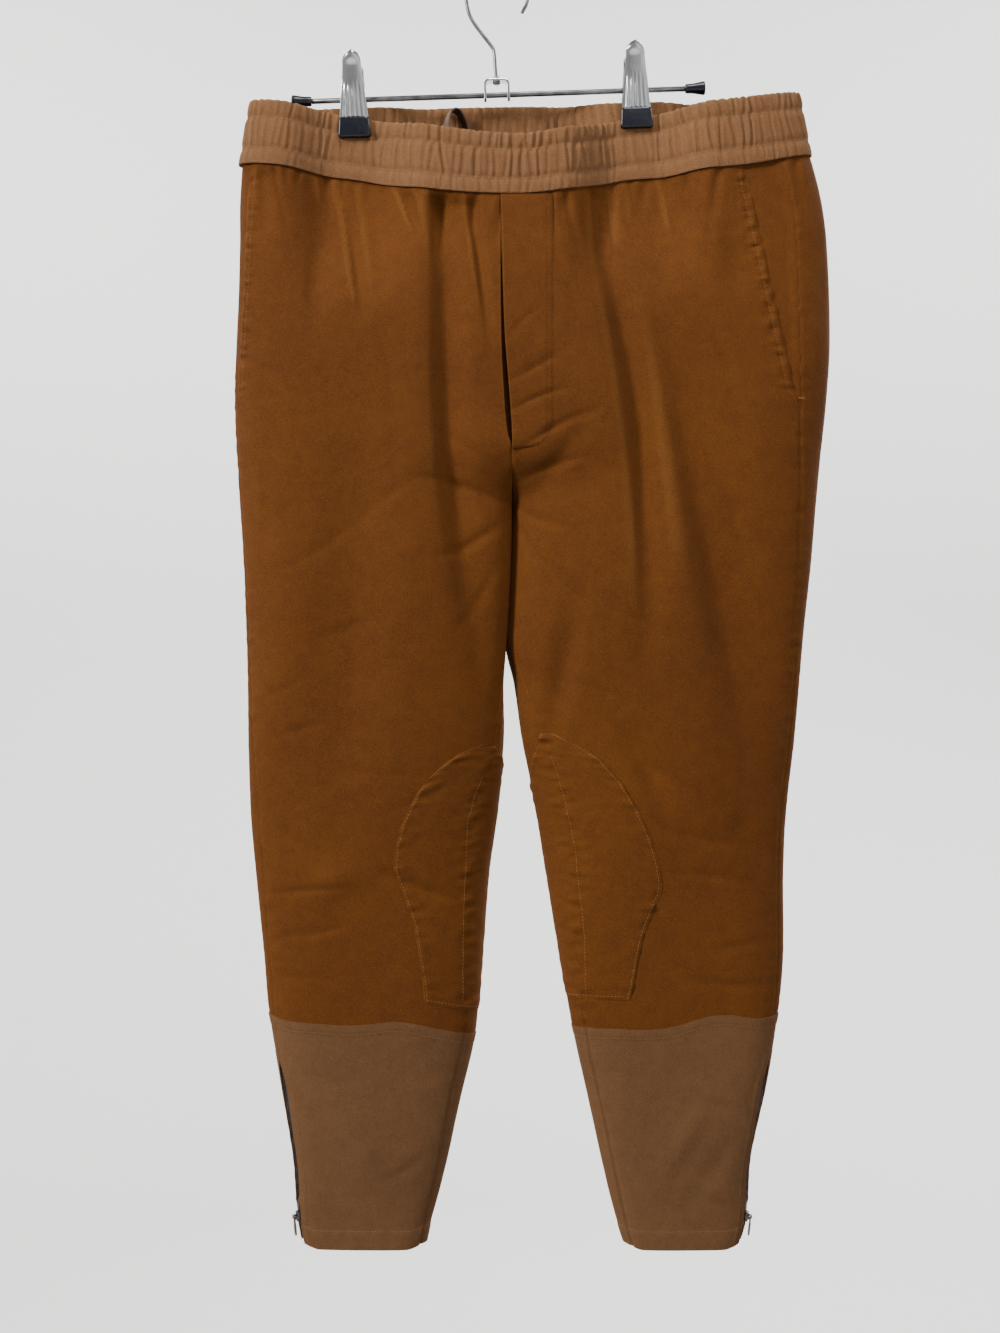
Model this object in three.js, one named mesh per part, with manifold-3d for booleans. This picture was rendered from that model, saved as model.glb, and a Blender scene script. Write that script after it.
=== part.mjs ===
// Tapered pull-on trousers hanging from a steel clip hanger.
// Millimetres, +Z up, +X to the viewer's right, the front of the trousers facing -Y.
// The origin is the inside top of the hanger's hook, where a rail bears.
// "drop" is a depth below that point, so z = -drop. Left and right are the wearer's,
// so the right leg lies on the -X side.
import * as THREE from 'three';
import { mergeVertices } from 'three/addons/utils/BufferGeometryUtils.js';
import Module from 'manifold-3d';

const wasm = await Module();
wasm.setup();

// ---------------------------------------------------------------- driving sizes
const TWILL = 1.2; // wall of every single layer of cloth
const SEAM = 0.3; // air left between two pieces that are sewn together
const TRIM_SIDE = 0.2; // what each panel gives up for that along its sides
const TRIM_LEVEL = 0.35; // and along its top and foot
const BAND_OUT = 0.9; // the waistband stands this far outside the cloth below it
const BAND_WALL = 3.0; // elastic between two layers of cloth
const WAIST = 170; // nominal level of the waist seam
const FLY_FOOT = 415; // the front rise starts to curve under here
const SEAT = 385; // and the back rise here
const CROTCH = 472;
const JOIN = 913; // nominal level of the seam between the thigh cloth and the lower leg
const HEM = 1108;
const GATHERS_FRONT = 60;
const GATHERS_BACK = 56;
const GATHER_DEPTH = 1.0;

// The level sections of the two legs, and of the trunk above the crotch: where each side's
// outer and inner edges lie, and how far the cloth stands forward and back of the hanging plane.
const SECTIONS = [
  { drop: 170, outR: -222, inR: 3, inL: 3, outL: 271, front: 24, back: 20 },
  { drop: 205, outR: -224, inR: 3, inL: 3, outL: 280, front: 26, back: 22 },
  { drop: 240, outR: -224, inR: 3, inL: 4, outL: 285, front: 29, back: 24 },
  { drop: 325, outR: -226, inR: 4, inL: 6, outL: 288, front: 34, back: 29 },
  { drop: 377, outR: -227, inR: 7, inL: 10, outL: 285, front: 36, back: 32 },
  { drop: 424, outR: -225, inR: 12.6, inL: 13.1, outL: 280, front: 37, back: 34 },
  { drop: 472, outR: -222, inR: 12.7, inL: 13.2, outL: 275.5, front: 38, back: 35 },
  { drop: 520, outR: -219, inR: 12, inL: 11.4, outL: 271.5, front: 39, back: 36 },
  { drop: 570, outR: -217, inR: 9.5, inL: 9, outL: 266, front: 38, back: 35 },
  { drop: 592, outR: -216.3, inR: 8, inL: 8.6, outL: 264, front: 37, back: 34 },
  { drop: 622, outR: -215.6, inR: 5.8, inL: 14.4, outL: 261.5, front: 36, back: 33 },
  { drop: 672, outR: -215, inR: 6, inL: 21.7, outL: 257, front: 34, back: 31 },
  { drop: 735, outR: -213, inR: -0.5, inL: 35, outL: 250, front: 31, back: 28 },
  { drop: 784, outR: -208.7, inR: -7.5, inL: 43, outL: 247.7, front: 29, back: 26 },
  { drop: 862, outR: -201.3, inR: -14, inL: 56, outL: 247.5, front: 26, back: 23 },
  { drop: 913, outR: -197, inR: -18.5, inL: 64.6, outL: 243, front: 24, back: 21 },
  { drop: 970, outR: -186.8, inR: -29.7, inL: 76.5, outL: 233, front: 20, back: 17 },
  { drop: 1030, outR: -176.5, inR: -42, inL: 89.4, outL: 219.5, front: 17, back: 14 },
  { drop: 1090, outR: -172, inR: -56.8, inL: 103.5, outL: 215.5, front: 13.5, back: 11 },
  { drop: 1108, outR: -169, inR: -60.5, inL: 109, outL: 211, front: 12.5, back: 10 },
];

// Under the crotch the two inner edges pass a little over each other: the right leg's edge
// stands this far forward of the hanging plane there, and the left leg's as far back.
const PASS = { by: 4, from: CROTCH, full: 502, hold: 604, to: 650, across: 0.12 };

// Where the side seam and the inseam run, in millimetres round the cloth from the outer and
// the inner edge towards the front. A side seam below zero has rolled behind the edge.
const SEAM_LINES = [
  { drop: 170, sideR: -18, sideL: 34, inseamR: 0, inseamL: 0 },
  { drop: 325, sideR: -3, sideL: 41, inseamR: 0, inseamL: 0 },
  { drop: 385, sideR: 4, sideL: 37, inseamR: 0, inseamL: 0 },
  { drop: 472, sideR: 8, sideL: 28, inseamR: 0, inseamL: 0 },
  { drop: 560, sideR: 10, sideL: 21, inseamR: 0, inseamL: 6 },
  { drop: 620, sideR: 12, sideL: 15, inseamR: 3, inseamL: 18 },
  { drop: 672, sideR: 14, sideL: 14, inseamR: 16, inseamL: 29 },
  { drop: 735, sideR: 18, sideL: 15, inseamR: 28, inseamL: 36 },
  { drop: 825, sideR: 16, sideL: 15, inseamR: 23, inseamL: 29 },
  { drop: 913, sideR: 14, sideL: 13, inseamR: 19, inseamL: 20 },
  { drop: 1010, sideR: 6, sideL: 5, inseamR: 15, inseamL: 17 },
  { drop: 1108, sideR: 3, sideL: 3, inseamR: 10, inseamL: 13 },
];

// The waist seam and the top edge, which dip between the clips at the front.
const WAIST_LINE = [
  { x: -221, seamFront: 175, seamBack: 175, topFront: 118.5, topBack: 118.5 },
  { x: -162, seamFront: 183.5, seamBack: 178, topFront: 128, topBack: 124.5 },
  { x: -111, seamFront: 190, seamBack: 178, topFront: 136, topBack: 124 },
  { x: -60, seamFront: 202, seamBack: 174, topFront: 147, topBack: 119.5 },
  { x: 15, seamFront: 206.5, seamBack: 172, topFront: 155, topBack: 117.5 },
  { x: 60, seamFront: 202, seamBack: 172.5, topFront: 149, topBack: 118 },
  { x: 108, seamFront: 189, seamBack: 174, topFront: 136.5, topBack: 120 },
  { x: 160, seamFront: 185.5, seamBack: 172, topFront: 129, topBack: 118 },
  { x: 213, seamFront: 180.5, seamBack: 170, topFront: 122, topBack: 116 },
  { x: 271, seamFront: 167, seamBack: 167, topFront: 111, topBack: 111 },
];
// A clip holds the cloth this flat across its pad, sets it free further along, and is felt
// down to a drop in the cloth below the waistband.
const CLIP_REACH = { held: 2.6, pad: 16, free: 66, foot: 310 };
const BAND_TOP = { outR: -212.5, outL: 260.7, inner: 3, front: 22, back: 17 };
// The waistband's rows from the seam up: two lines of stitching part it into three channels.
const BAND_ROWS = [
  { height: 0, puff: 0.5 },
  { height: 0.24, puff: 0.25 },
  { height: 0.49, puff: 1 },
  { height: 0.73, puff: 0.25 },
  { height: 1, puff: 0.8 },
];

// The hanging loop: a ribbon arch that leans to one side, between two depths behind the plane.
const LOOP = { x: -33, foot: 152, top: 124, half: 9, lean: 3, from: 5.4, to: 14.4, ribbon: 1.2 };

// The seam between thigh and lower leg, by the share of the leg's width from its inner edge.
const JOIN_LINE = [
  { across: 0, right: 924, left: 917 },
  { across: 0.2, right: 915, left: 916 },
  { across: 0.36, right: 909.5, left: 916.5 },
  { across: 0.5, right: 911.5, left: 913 },
  { across: 0.62, right: 913, left: 906 },
  { across: 0.74, right: 911.5, left: 904 },
  { across: 0.89, right: 910, left: 908 },
  { across: 1, right: 906.5, left: 907 },
];

// The main folds: a trough (or, with a negative depth, a ridge) along a line from one point
// to another, bowed sideways in the middle. "start" is its share of the depth at the top end.
const FOLDS = [
  { face: 'front', x0: 86, drop0: 188, x1: 87, drop1: 275, bow: 0, depth: 7, half: 8, start: 1 },
  { face: 'front', x0: 88, drop0: 240, x1: 137, drop1: 610, bow: -4, depth: 7, half: 13, start: 0.5 },
  { face: 'front', x0: 150, drop0: 182, x1: 147, drop1: 250, bow: 0, depth: 5, half: 8, start: 1 },
  { face: 'front', x0: 143, drop0: 235, x1: 214, drop1: 670, bow: -14, depth: 8, half: 19, start: 0.4 },
  { face: 'front', x0: -53, drop0: 200, x1: -53, drop1: 262, bow: 0, depth: 6, half: 8, start: 1 },
  { face: 'front', x0: -48, drop0: 240, x1: -12, drop1: 610, bow: -14, depth: 6, half: 15, start: 0.5 },
  { face: 'front', x0: -85, drop0: 195, x1: -64, drop1: 250, bow: 0, depth: 3.5, half: 8, start: 1 },
  { face: 'front', x0: -131, drop0: 190, x1: -115, drop1: 300, bow: 0, depth: 3, half: 8, start: 1 },
  { face: 'front', x0: -152, drop0: 190, x1: -168, drop1: 360, bow: 0, depth: 4, half: 18, start: 0.6 },
  { face: 'front', x0: -25, drop0: 200, x1: -5, drop1: 320, bow: 0, depth: 3, half: 8, start: 1 },
  { face: 'front', x0: 30, drop0: 460, x1: 82, drop1: 395, bow: 0, depth: 3, half: 9, start: 0.2 },
  { face: 'front', x0: 100, drop0: 650, x1: 148, drop1: 750, bow: 5, depth: 4, half: 11, start: 0.3 },
  { face: 'front', x0: -160, drop0: 800, x1: -95, drop1: 770, bow: 0, depth: -3, half: 14, start: 0.2 },
  { face: 'front', x0: 196, drop0: 730, x1: 236, drop1: 790, bow: 0, depth: 3, half: 12, start: 0.2 },
  { face: 'back', x0: 60, drop0: 172, x1: 70, drop1: 300, bow: 4, depth: 5, half: 10, start: 1 },
  { face: 'back', x0: 128, drop0: 172, x1: 165, drop1: 420, bow: -6, depth: 6, half: 15, start: 0.8 },
  { face: 'back', x0: 200, drop0: 172, x1: 196, drop1: 270, bow: 0, depth: 4, half: 10, start: 1 },
  { face: 'back', x0: -55, drop0: 172, x1: -66, drop1: 310, bow: -4, depth: 5, half: 10, start: 1 },
  { face: 'back', x0: -118, drop0: 172, x1: -142, drop1: 400, bow: 6, depth: 5, half: 14, start: 0.8 },
  { face: 'back', x0: -176, drop0: 175, x1: -180, drop1: 260, bow: 0, depth: 3.5, half: 9, start: 1 },
  { face: 'back', x0: 40, drop0: 470, x1: 120, drop1: 600, bow: 6, depth: 5, half: 15, start: 0.3 },
  { face: 'back', x0: -20, drop0: 470, x1: -90, drop1: 610, bow: -6, depth: 5, half: 15, start: 0.3 },
  { face: 'back', x0: 90, drop0: 740, x1: 190, drop1: 775, bow: 4, depth: 3.5, half: 12, start: 0.2 },
  { face: 'back', x0: -50, drop0: 745, x1: -150, drop1: 785, bow: 4, depth: 3.5, half: 12, start: 0.2 },
];

const FLY = { edge: 47, foot: 424.5, round: 24, underlapStep: 9, gap: 1.3, gapBelow: 4 };
// Each slanted pocket mouth runs from the waist seam down to the side seam.
const POCKETS = [
  { side: 'right', topX: -213, topDrop: 176, footX: -223.5, footDrop: 385 },
  { side: 'left', topX: 210, topDrop: 180, footX: 253.5, footDrop: 381 },
];
const POCKET_LAP = 14; // how far the facing reaches under the mouth's edge
// The patch inside each knee: its tip on the inseam, its widest corner and its two feet at the
// front, and how far its corner and foot reach round the back from the leg's inner edge.
const PATCHES = [
  {
    side: 'right',
    ...{ tipX: -2.8, tipDrop: 672.3, cornerX: -87, cornerDrop: 775, footX: -61.5, footDrop: 882.5 },
    ...{ edgeX: 6, edgeDrop: 682.5, innerX: -17, innerDrop: 893, backCorner: 68, backFoot: 40 },
  },
  {
    side: 'left',
    ...{ tipX: 37.9, tipDrop: 662, cornerX: 135, cornerDrop: 786.5, footX: 108.5, footDrop: 887.5 },
    ...{ edgeX: 26, edgeDrop: 684.5, innerX: 62.7, innerDrop: 884.5, backCorner: 70, backFoot: 42 },
  },
];
const PATCH_SWELL = 1.75; // exponent of the patch's round shoulder, 2 being an ellipse
const PATCH_WALL = 1.0;
const PATCH_WAIST = { across: 0.62, down: 0.45 }; // where its front edge bends between corner and foot
const PATCH_PAST = 40; // the cutting block runs this far past the leg's inner edge

// The zip: its top, half its gap when closed and at the slider, and the tape behind it.
const ZIP = { top: 951, open: 1.7, cup: 4.6, cupDrop: 1070, tape: 9, tapeWall: 0.9, slider: 1085 };
// The slider's block, with the notch that the teeth leave by and the lugs that hold the pin.
const SLIDER = {
  ...{ sunk: 1.1, wide: 3.4, high: 4.5, thick: 2.4 },
  notch: { floor: 0.9, wide: 1.2, high: 2.2 },
  lug: { from: 2, to: 3, high: 1.4 },
};
const PULL = {
  ...{ pin: 0.6, bore: 0.9, eye: 1.5, stand: 4.6 },
  ...{ length: 16, half: 2.4, shoulder: 5, tip: 1.2, wall: 1.0 },
};

// The clip hanger. Heights are above the middle of the bar.
const BAR = { x: 1.3, drop: 113.4, radius: 2.25, half: 179, tilt: THREE.MathUtils.degToRad(-1.94) };
const FIT = 0.3; // clearance between the hanger's loose pieces
const CAP = { length: 17.4, grip: 12, inner: 3.6, outer: 5.6 };
const CLIPS = [
  { name: 'right', x: -123.8 },
  { name: 'left', x: 119.5 },
];
// A clip plate's half width, and how far it stands from the middle plane, by height.
const PLATE_ROWS = [
  { up: -17.1, half: 12.4, off: 7.4, flute: 0.4 },
  { up: -3, half: 10.8, off: 9.2, flute: 0.5 },
  { up: 3, half: 10.4, off: 9.8, flute: 0 },
  { up: 14, half: 9.2, off: 10.8, flute: 0 },
  { up: 31, half: 8.2, off: 14, flute: 0 },
  { up: 35, half: 5.6, off: 15, flute: 0 },
  { up: 37, half: 2, off: 15.4, flute: 0 },
];
const PLATE = { wall: 0.9, curl: 2.2, cells: 8, earIn: 9.2, earOut: 10.4, ear: 5, root: 7.9, reach: 4 };
const PAD = { topHalf: 12.6, footHalf: 14.2, top: -17.4, foot: -34.7, corner: 2.6, face: 3.8, wall: 5.2 };
const SPRING = { radius: 4.2, half: 8.2 };
const HOOK = { wire: 1.65, radius: 27.2, tip: THREE.MathUtils.degToRad(-40), head: 3.2, collar: 1.4 };
// The hook's wire from the yoke up to where its round crook begins.
const HOOK_NECK = [
  { x: -0.4, drop: 103.6 },
  { x: -1.5, drop: 88.3 },
  { x: -2.6, drop: 75.3 },
  { x: -6.1, drop: 69.3 },
  { x: -13.4, drop: 59.9 },
  { x: -20.6, drop: 49.9 },
  { x: -24.6, drop: 41.4 },
];
const YOKE = { half: 10.8, foot: -4, top: 13, depth: 8, wall: 1.3, bend: 2 };

const CLOTH = new THREE.MeshStandardMaterial({ color: 0x8a4c18, roughness: 0.85 });
const TRIM = new THREE.MeshStandardMaterial({ color: 0x9a6a4a, roughness: 0.85 });
const TAPE = new THREE.MeshStandardMaterial({ color: 0x3a2418, roughness: 0.9 });
const METAL = new THREE.MeshStandardMaterial({ color: 0x77706a, roughness: 0.35, metalness: 1 });
const CHROME = new THREE.MeshStandardMaterial({ color: 0xc8c8ca, roughness: 0.15, metalness: 1 });
const STEEL = new THREE.MeshStandardMaterial({ color: 0x8c8c8c, roughness: 0.35, metalness: 1 });
const RUBBER = new THREE.MeshStandardMaterial({ color: 0x0c0e16, roughness: 0.4 });

const { lerp, clamp, smoothstep } = THREE.MathUtils;
const part = new THREE.Group();

function place(name, geometry, material, group = part) {
  const mesh = new THREE.Mesh(geometry, material);
  mesh.name = name;
  group.add(mesh);
  return mesh;
}

// ---------------------------------------------------------------- tables and solids
// A smooth curve through one column of a table.
function read(table, column, at, key = 'drop') {
  const last = table.length - 1;
  if (at <= table[0][key]) return table[0][column];
  if (at >= table[last][key]) return table[last][column];
  let i = 0;
  while (at > table[i + 1][key]) i += 1;
  const slope = (a, b) => (table[b][column] - table[a][column]) / (table[b][key] - table[a][key]);
  const here = slope(i, i + 1);
  const before = i > 0 ? slope(i - 1, i + 1) : here;
  const after = i + 1 < last ? slope(i, i + 2) : here;
  const span = table[i + 1][key] - table[i][key];
  const t = (at - table[i][key]) / span;
  const ends = lerp(table[i][column], table[i + 1][column], t * t * (3 - 2 * t));
  return ends + span * t * (1 - t) * (before * (1 - t) - after * t);
}

function toSolid(geometry) {
  const bare = geometry.clone();
  bare.deleteAttribute('normal');
  bare.deleteAttribute('uv');
  const merged = mergeVertices(bare, 1e-4);
  return new wasm.Manifold(
    new wasm.Mesh({
      numProp: 3,
      vertProperties: new Float32Array(merged.attributes.position.array),
      triVerts: new Uint32Array(merged.index.array),
    }),
  );
}

function toGeometry(solid) {
  const mesh = solid.getMesh();
  const geometry = new THREE.BufferGeometry();
  geometry.setAttribute('position', new THREE.BufferAttribute(new Float32Array(mesh.vertProperties), 3));
  geometry.setIndex(new THREE.BufferAttribute(new Uint32Array(mesh.triVerts), 1));
  geometry.computeVertexNormals();
  return geometry;
}

function boxSolid(x0, x1, y0, y1, z0, z1) {
  const box = new THREE.BoxGeometry(x1 - x0, y1 - y0, z1 - z0);
  return toSolid(box.translate((x0 + x1) / 2, (y0 + y1) / 2, (z0 + z1) / 2));
}

// A rod along X, Y or Z through the middle of its frame.
function rodSolid(radius, length, axis, sides = 16) {
  const rod = new THREE.CylinderGeometry(radius, radius, length, sides);
  if (axis === 'x') rod.rotateZ(Math.PI / 2);
  if (axis === 'z') rod.rotateX(Math.PI / 2);
  return toSolid(rod);
}

// A block that shows its outline from the front, given as points of x and drop.
function frontBlock(outline, y0, y1) {
  const shape = new THREE.Shape(outline.map(([x, drop]) => new THREE.Vector2(x, -drop)));
  const block = new THREE.ExtrudeGeometry(shape, { depth: y1 - y0, bevelEnabled: false });
  return toSolid(block.rotateX(Math.PI / 2).translate(0, y1, 0));
}

// A closed wall between two grids of points. The grids may differ in their counts.
function wallBetween(outer, inner) {
  const points = [];
  const faces = [];
  const number = (grid) => grid.map((row) => row.map((p) => points.push(p) - 1));
  const out = number(outer);
  const into = number(inner);
  const cover = (grid, turned) => {
    for (let r = 0; r + 1 < grid.length; r += 1) {
      for (let c = 0; c + 1 < grid[r].length; c += 1) {
        const [a, b] = [grid[r][c], grid[r][c + 1]];
        const [d, e] = [grid[r + 1][c], grid[r + 1][c + 1]];
        faces.push(...(turned ? [[a, e, b], [a, d, e]] : [[a, b, e], [a, e, d]]));
      }
    }
  };
  const rim = (grid) => {
    const last = grid.length - 1;
    const end = grid[0].length - 1;
    return [
      grid[0],
      grid.map((row) => row[end]),
      [...grid[last]].reverse(),
      grid.map((row) => row[0]).reverse(),
    ];
  };
  cover(out, false);
  cover(into, true);
  const innerRim = rim(into);
  rim(out).forEach((a, side) => {
    const b = innerRim[side];
    let i = 0;
    let j = 0;
    while (i < a.length - 1 || j < b.length - 1) {
      const aNext = (i + 1) / (a.length - 1);
      const bNext = (j + 1) / (b.length - 1);
      if (j === b.length - 1 || (i < a.length - 1 && aNext <= bNext)) {
        faces.push([a[i], b[j], a[i + 1]]);
        i += 1;
      } else {
        faces.push([a[i], b[j], b[j + 1]]);
        j += 1;
      }
    }
  });
  const corner = ([a, b, c]) => points[a].dot(points[b].clone().cross(points[c]));
  const volume = faces.reduce((sum, face) => sum + corner(face), 0);
  const numbers = new Float32Array(points.flatMap((p) => p.toArray()));
  const geometry = new THREE.BufferGeometry();
  geometry.setAttribute('position', new THREE.BufferAttribute(numbers, 3));
  geometry.setIndex(faces.flatMap((f) => (volume < 0 ? [f[0], f[2], f[1]] : f)));
  geometry.computeVertexNormals();
  return geometry;
}

// A wall made from a grid of cloth points moved along their normals, from low to high.
function layer(grid, low, high) {
  const moved = (by) => grid.map((row) => row.map(({ p, n }) => p.clone().addScaledVector(n, by)));
  return wallBetween(moved(high), moved(low));
}

// Draws the grid's borders in, so that two sewn pieces keep their gap.
function drawnIn(grid, trim) {
  const rows = grid.map((row) => row.map(({ p, n }) => ({ p: p.clone(), n })));
  const pull = (point, towards, by) => {
    const way = towards.p.clone().sub(point.p).normalize();
    point.p.addScaledVector(way, by);
  };
  const last = rows.length - 1;
  rows.forEach((row) => {
    const end = row.length - 1;
    if (trim.start) pull(row[0], row[1], trim.start);
    if (trim.end) pull(row[end], row[end - 1], trim.end);
  });
  rows[0].forEach((point, c) => trim.top && pull(point, rows[1][c], trim.top));
  rows[last].forEach((point, c) => trim.foot && pull(point, rows[last - 1][c], trim.foot));
  return rows;
}

// ---------------------------------------------------------------- the hanging cloth
const LEGS = {
  right: { name: 'right', out: 'outR', in: 'inR', side: 'sideR', inseam: 'inseamR', back: -1 },
  left: { name: 'left', out: 'outL', in: 'inL', side: 'sideL', inseam: 'inseamL', back: 1 },
};

// The clips pinch front and back together: 1 where the cloth is free, 0 under a pad.
function freedom(x, strength) {
  const nearest = Math.min(...CLIPS.map((clip) => Math.abs(x - clip.x)));
  return 1 - strength * (1 - smoothstep(nearest, CLIP_REACH.pad, CLIP_REACH.free));
}

function pinched(y, x, strength) {
  const { held } = CLIP_REACH;
  const size = Math.abs(y);
  return Math.sign(y) * (Math.min(size, held) + Math.max(size - held, 0) * freedom(x, strength));
}

function foldDepth(face, x, drop) {
  let sum = 0;
  for (const fold of FOLDS) {
    if (fold.face !== face) continue;
    const dx = fold.x1 - fold.x0;
    const dz = fold.drop1 - fold.drop0;
    const length = Math.hypot(dx, dz);
    const along = ((x - fold.x0) * dx + (drop - fold.drop0) * dz) / length / length;
    if (along < -0.3 || along > 1.1) continue;
    const off = ((x - fold.x0) * dz - (drop - fold.drop0) * dx) / length;
    const path = fold.bow * Math.sin(Math.PI * clamp(along, 0, 1));
    const top = lerp(fold.start, 1, smoothstep(along, 0, 0.3)) * smoothstep(along, -0.25, 0);
    const tail = 1 - smoothstep(along, 0.45, 1.05);
    sum += fold.depth * top * tail * Math.exp(-(((off - path) / fold.half) ** 2));
  }
  return sum;
}

// How far the rows hang from level: they follow the waist seam at the top, the seam above
// the lower leg at the bottom, and the hem, which lifts at its two ends.
function sagAt(leg, face, x, across, drop) {
  const seam = read(WAIST_LINE, face === 'front' ? 'seamFront' : 'seamBack', x, 'x') - WAIST;
  const [first, last] = [JOIN_LINE[0][leg.name], JOIN_LINE[JOIN_LINE.length - 1][leg.name]];
  const level = lerp(first, last, across);
  const join = (face === 'front' ? read(JOIN_LINE, leg.name, across, 'across') : level) - JOIN;
  const ends = -HEM_LIFT.by * (1 - smoothstep(Math.min(across, 1 - across), 0, HEM_LIFT.across));
  const nearJoin =
    drop < JOIN ? smoothstep(drop, JOIN_FADE.above, JOIN) : 1 - smoothstep(drop, JOIN, JOIN_FADE.below);
  const nearWaist = 1 - smoothstep(drop, WAIST, WAIST_FADE);
  return seam * nearWaist + join * nearJoin + ends * smoothstep(drop, HEM_LIFT.from, HEM);
}

const TRUNK_SQUARE = 5; // exponent of the trunk's section, 2 being an ellipse
const LEG_SQUARE = { thigh: 2.4, calf: 5, from: 700, to: 1050 };
// Away from the centre seam the trunk turns into two legs more slowly than at the rise.
const HIP = { above: 90, below: 110, near: 0.08, far: 0.45 };
const HEM_LIFT = { by: 4, across: 0.16, from: 1050 };
const JOIN_FADE = { above: 780, below: 1010 };
const WAIST_FADE = 330;

// How far across and how deep the trunk's blunt section lies at a turn, from 0 to 1.
function trunkAt(turn) {
  const trunkAcross = Math.sin((Math.PI * turn) / 2);
  const rest = 1 - trunkAcross ** 2;
  const flat = rest < 1e-9 ? TRUNK_SQUARE / 2 : (1 - trunkAcross ** TRUNK_SQUARE) / rest;
  return { trunkAcross, trunkDepth: Math.cos((Math.PI * turn) / 2) * Math.sqrt(flat) };
}

// A point of the cloth's outer face. turn runs round the section: 0 at the inner edge or centre
// front, 1 at the outer edge, 2 back at the inner edge or at centre back.
function clothPoint(leg, turn, drop) {
  const w = turn > 2 ? turn - 2 : turn < 0 ? turn + 2 : turn;
  const face = w <= 1 ? 'front' : 'back';
  const start = face === 'front' ? FLY_FOOT : SEAT;
  // 1 in the trunk, where the section stops at the centre seam, and 0 in a leg, which closes.
  const rise = Math.cos((Math.PI / 2) * clamp((drop - start) / (CROTCH - start), 0, 1));
  const hip = 1 - smoothstep(drop, start - HIP.above, CROTCH + HIP.below);
  const trunk = lerp(rise, hip, smoothstep(Math.min(w, 2 - w), HIP.near, HIP.far));
  const cos = Math.cos(Math.PI * w);
  const square = lerp(LEG_SQUARE.thigh, LEG_SQUARE.calf, smoothstep(drop, LEG_SQUARE.from, LEG_SQUARE.to));
  const edge = 1 - cos * cos;
  const bulge = edge < 1e-9 ? square / 2 : (1 - Math.abs(cos) ** square) / edge;
  const legDepth = Math.sin(Math.PI * w) * Math.sqrt(bulge);
  const { trunkAcross, trunkDepth } = trunkAt(w);
  const across = lerp((1 - cos) / 2, trunkAcross, trunk);
  const depth = lerp(legDepth, trunkDepth, trunk);
  const out = read(SECTIONS, leg.out, drop);
  const own = read(SECTIONS, leg.in, drop);
  const centre = (read(SECTIONS, 'inR', drop) + read(SECTIONS, 'inL', drop)) / 2;
  const inner = face === 'front' ? own : lerp(own, centre, trunk);
  const x = lerp(inner, out, across);
  const reach = read(SECTIONS, face, drop);
  const lifted = Math.min(1, Math.abs(depth) / 0.45) ** 2;
  const low = drop + sagAt(leg, face, x, across, drop);
  const fold = foldDepth(face, x, low) * lifted * (face === 'front' ? 1 : -1);
  const passing = smoothstep(drop, PASS.from, PASS.full) * (1 - smoothstep(drop, PASS.hold, PASS.to));
  const aside = leg.back * PASS.by * passing * (1 - smoothstep(across, 0, PASS.across));
  const y = aside + pinched(-reach * depth + fold, x, 1 - smoothstep(drop, WAIST, CLIP_REACH.foot));
  return new THREE.Vector3(x, y, -low);
}

const NEAR = { turn: 0.004, drop: 0.8, height: 0.01 };

// The same point with its outward normal, found from its neighbours.
function clothSpot(leg, turn, drop) {
  const inTrunk = drop < CROTCH;
  const low = inTrunk ? Math.max(turn - NEAR.turn, 0) : turn - NEAR.turn;
  const high = inTrunk ? Math.min(turn + NEAR.turn, 2) : turn + NEAR.turn;
  const round = clothPoint(leg, high, drop).sub(clothPoint(leg, low, drop));
  const down = clothPoint(leg, turn, drop + NEAR.drop).sub(clothPoint(leg, turn, drop - NEAR.drop));
  const n = round.cross(down).normalize();
  if (leg.name === 'right') n.negate();
  return { p: clothPoint(leg, turn, drop), n: n.negate() };
}

// Walks round the section from one turn by a length of cloth and gives the turn it reaches.
function walk(leg, from, drop, length) {
  const step = 0.005 * Math.sign(length);
  let turn = from;
  let gone = 0;
  let here = clothPoint(leg, turn, drop);
  while (gone < Math.abs(length)) {
    const next = clothPoint(leg, turn + step, drop);
    const stride = here.distanceTo(next);
    if (gone + stride > Math.abs(length)) return turn + (step * (Math.abs(length) - gone)) / stride;
    gone += stride;
    turn += step;
    here = next;
  }
  return turn;
}

// Turns between two seams, close together where the cloth bends and wider where it lies flat.
// A radian of bend counts for as much as BEND_COST millimetres of cloth.
const BEND_COST = 14;
function spread(leg, from, to, drop, cells) {
  const samples = 120;
  const points = [];
  for (let i = 0; i <= samples; i += 1) points.push(clothPoint(leg, lerp(from, to, i / samples), drop));
  const cost = [0];
  for (let i = 1; i <= samples; i += 1) {
    const a = points[i].clone().sub(points[i - 1]);
    const b = points[Math.max(i - 1, 1)].clone().sub(points[Math.max(i - 1, 1) - 1]);
    cost.push(cost[i - 1] + a.length() + BEND_COST * a.angleTo(b));
  }
  const turns = [];
  for (let c = 0; c <= cells; c += 1) {
    const goal = (cost[samples] * c) / cells;
    let i = 1;
    while (i < samples && cost[i] < goal) i += 1;
    const past = clamp((goal - cost[i - 1]) / (cost[i] - cost[i - 1]), 0, 1);
    turns.push(lerp(from, to, (i - 1 + past) / samples));
  }
  return turns;
}

const sideTurn = (leg, drop) => walk(leg, 1, drop, -read(SEAM_LINES, leg.side, drop));
const inseamTurn = (leg, drop) =>
  drop <= CROTCH ? 0 : walk(leg, 0, drop, read(SEAM_LINES, leg.inseam, drop));

const PANEL_DROPS = [
  ...[WAIST, 186, 212, 250, 295, 345, 388, 420, 444, 460, CROTCH],
  ...[486, 502, 530, 570, 592, 622, 650, 672, 715, 762, 812, 865, JOIN],
];
const FRONT_CELLS = 18;
const BACK_CELLS = 11;

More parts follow.
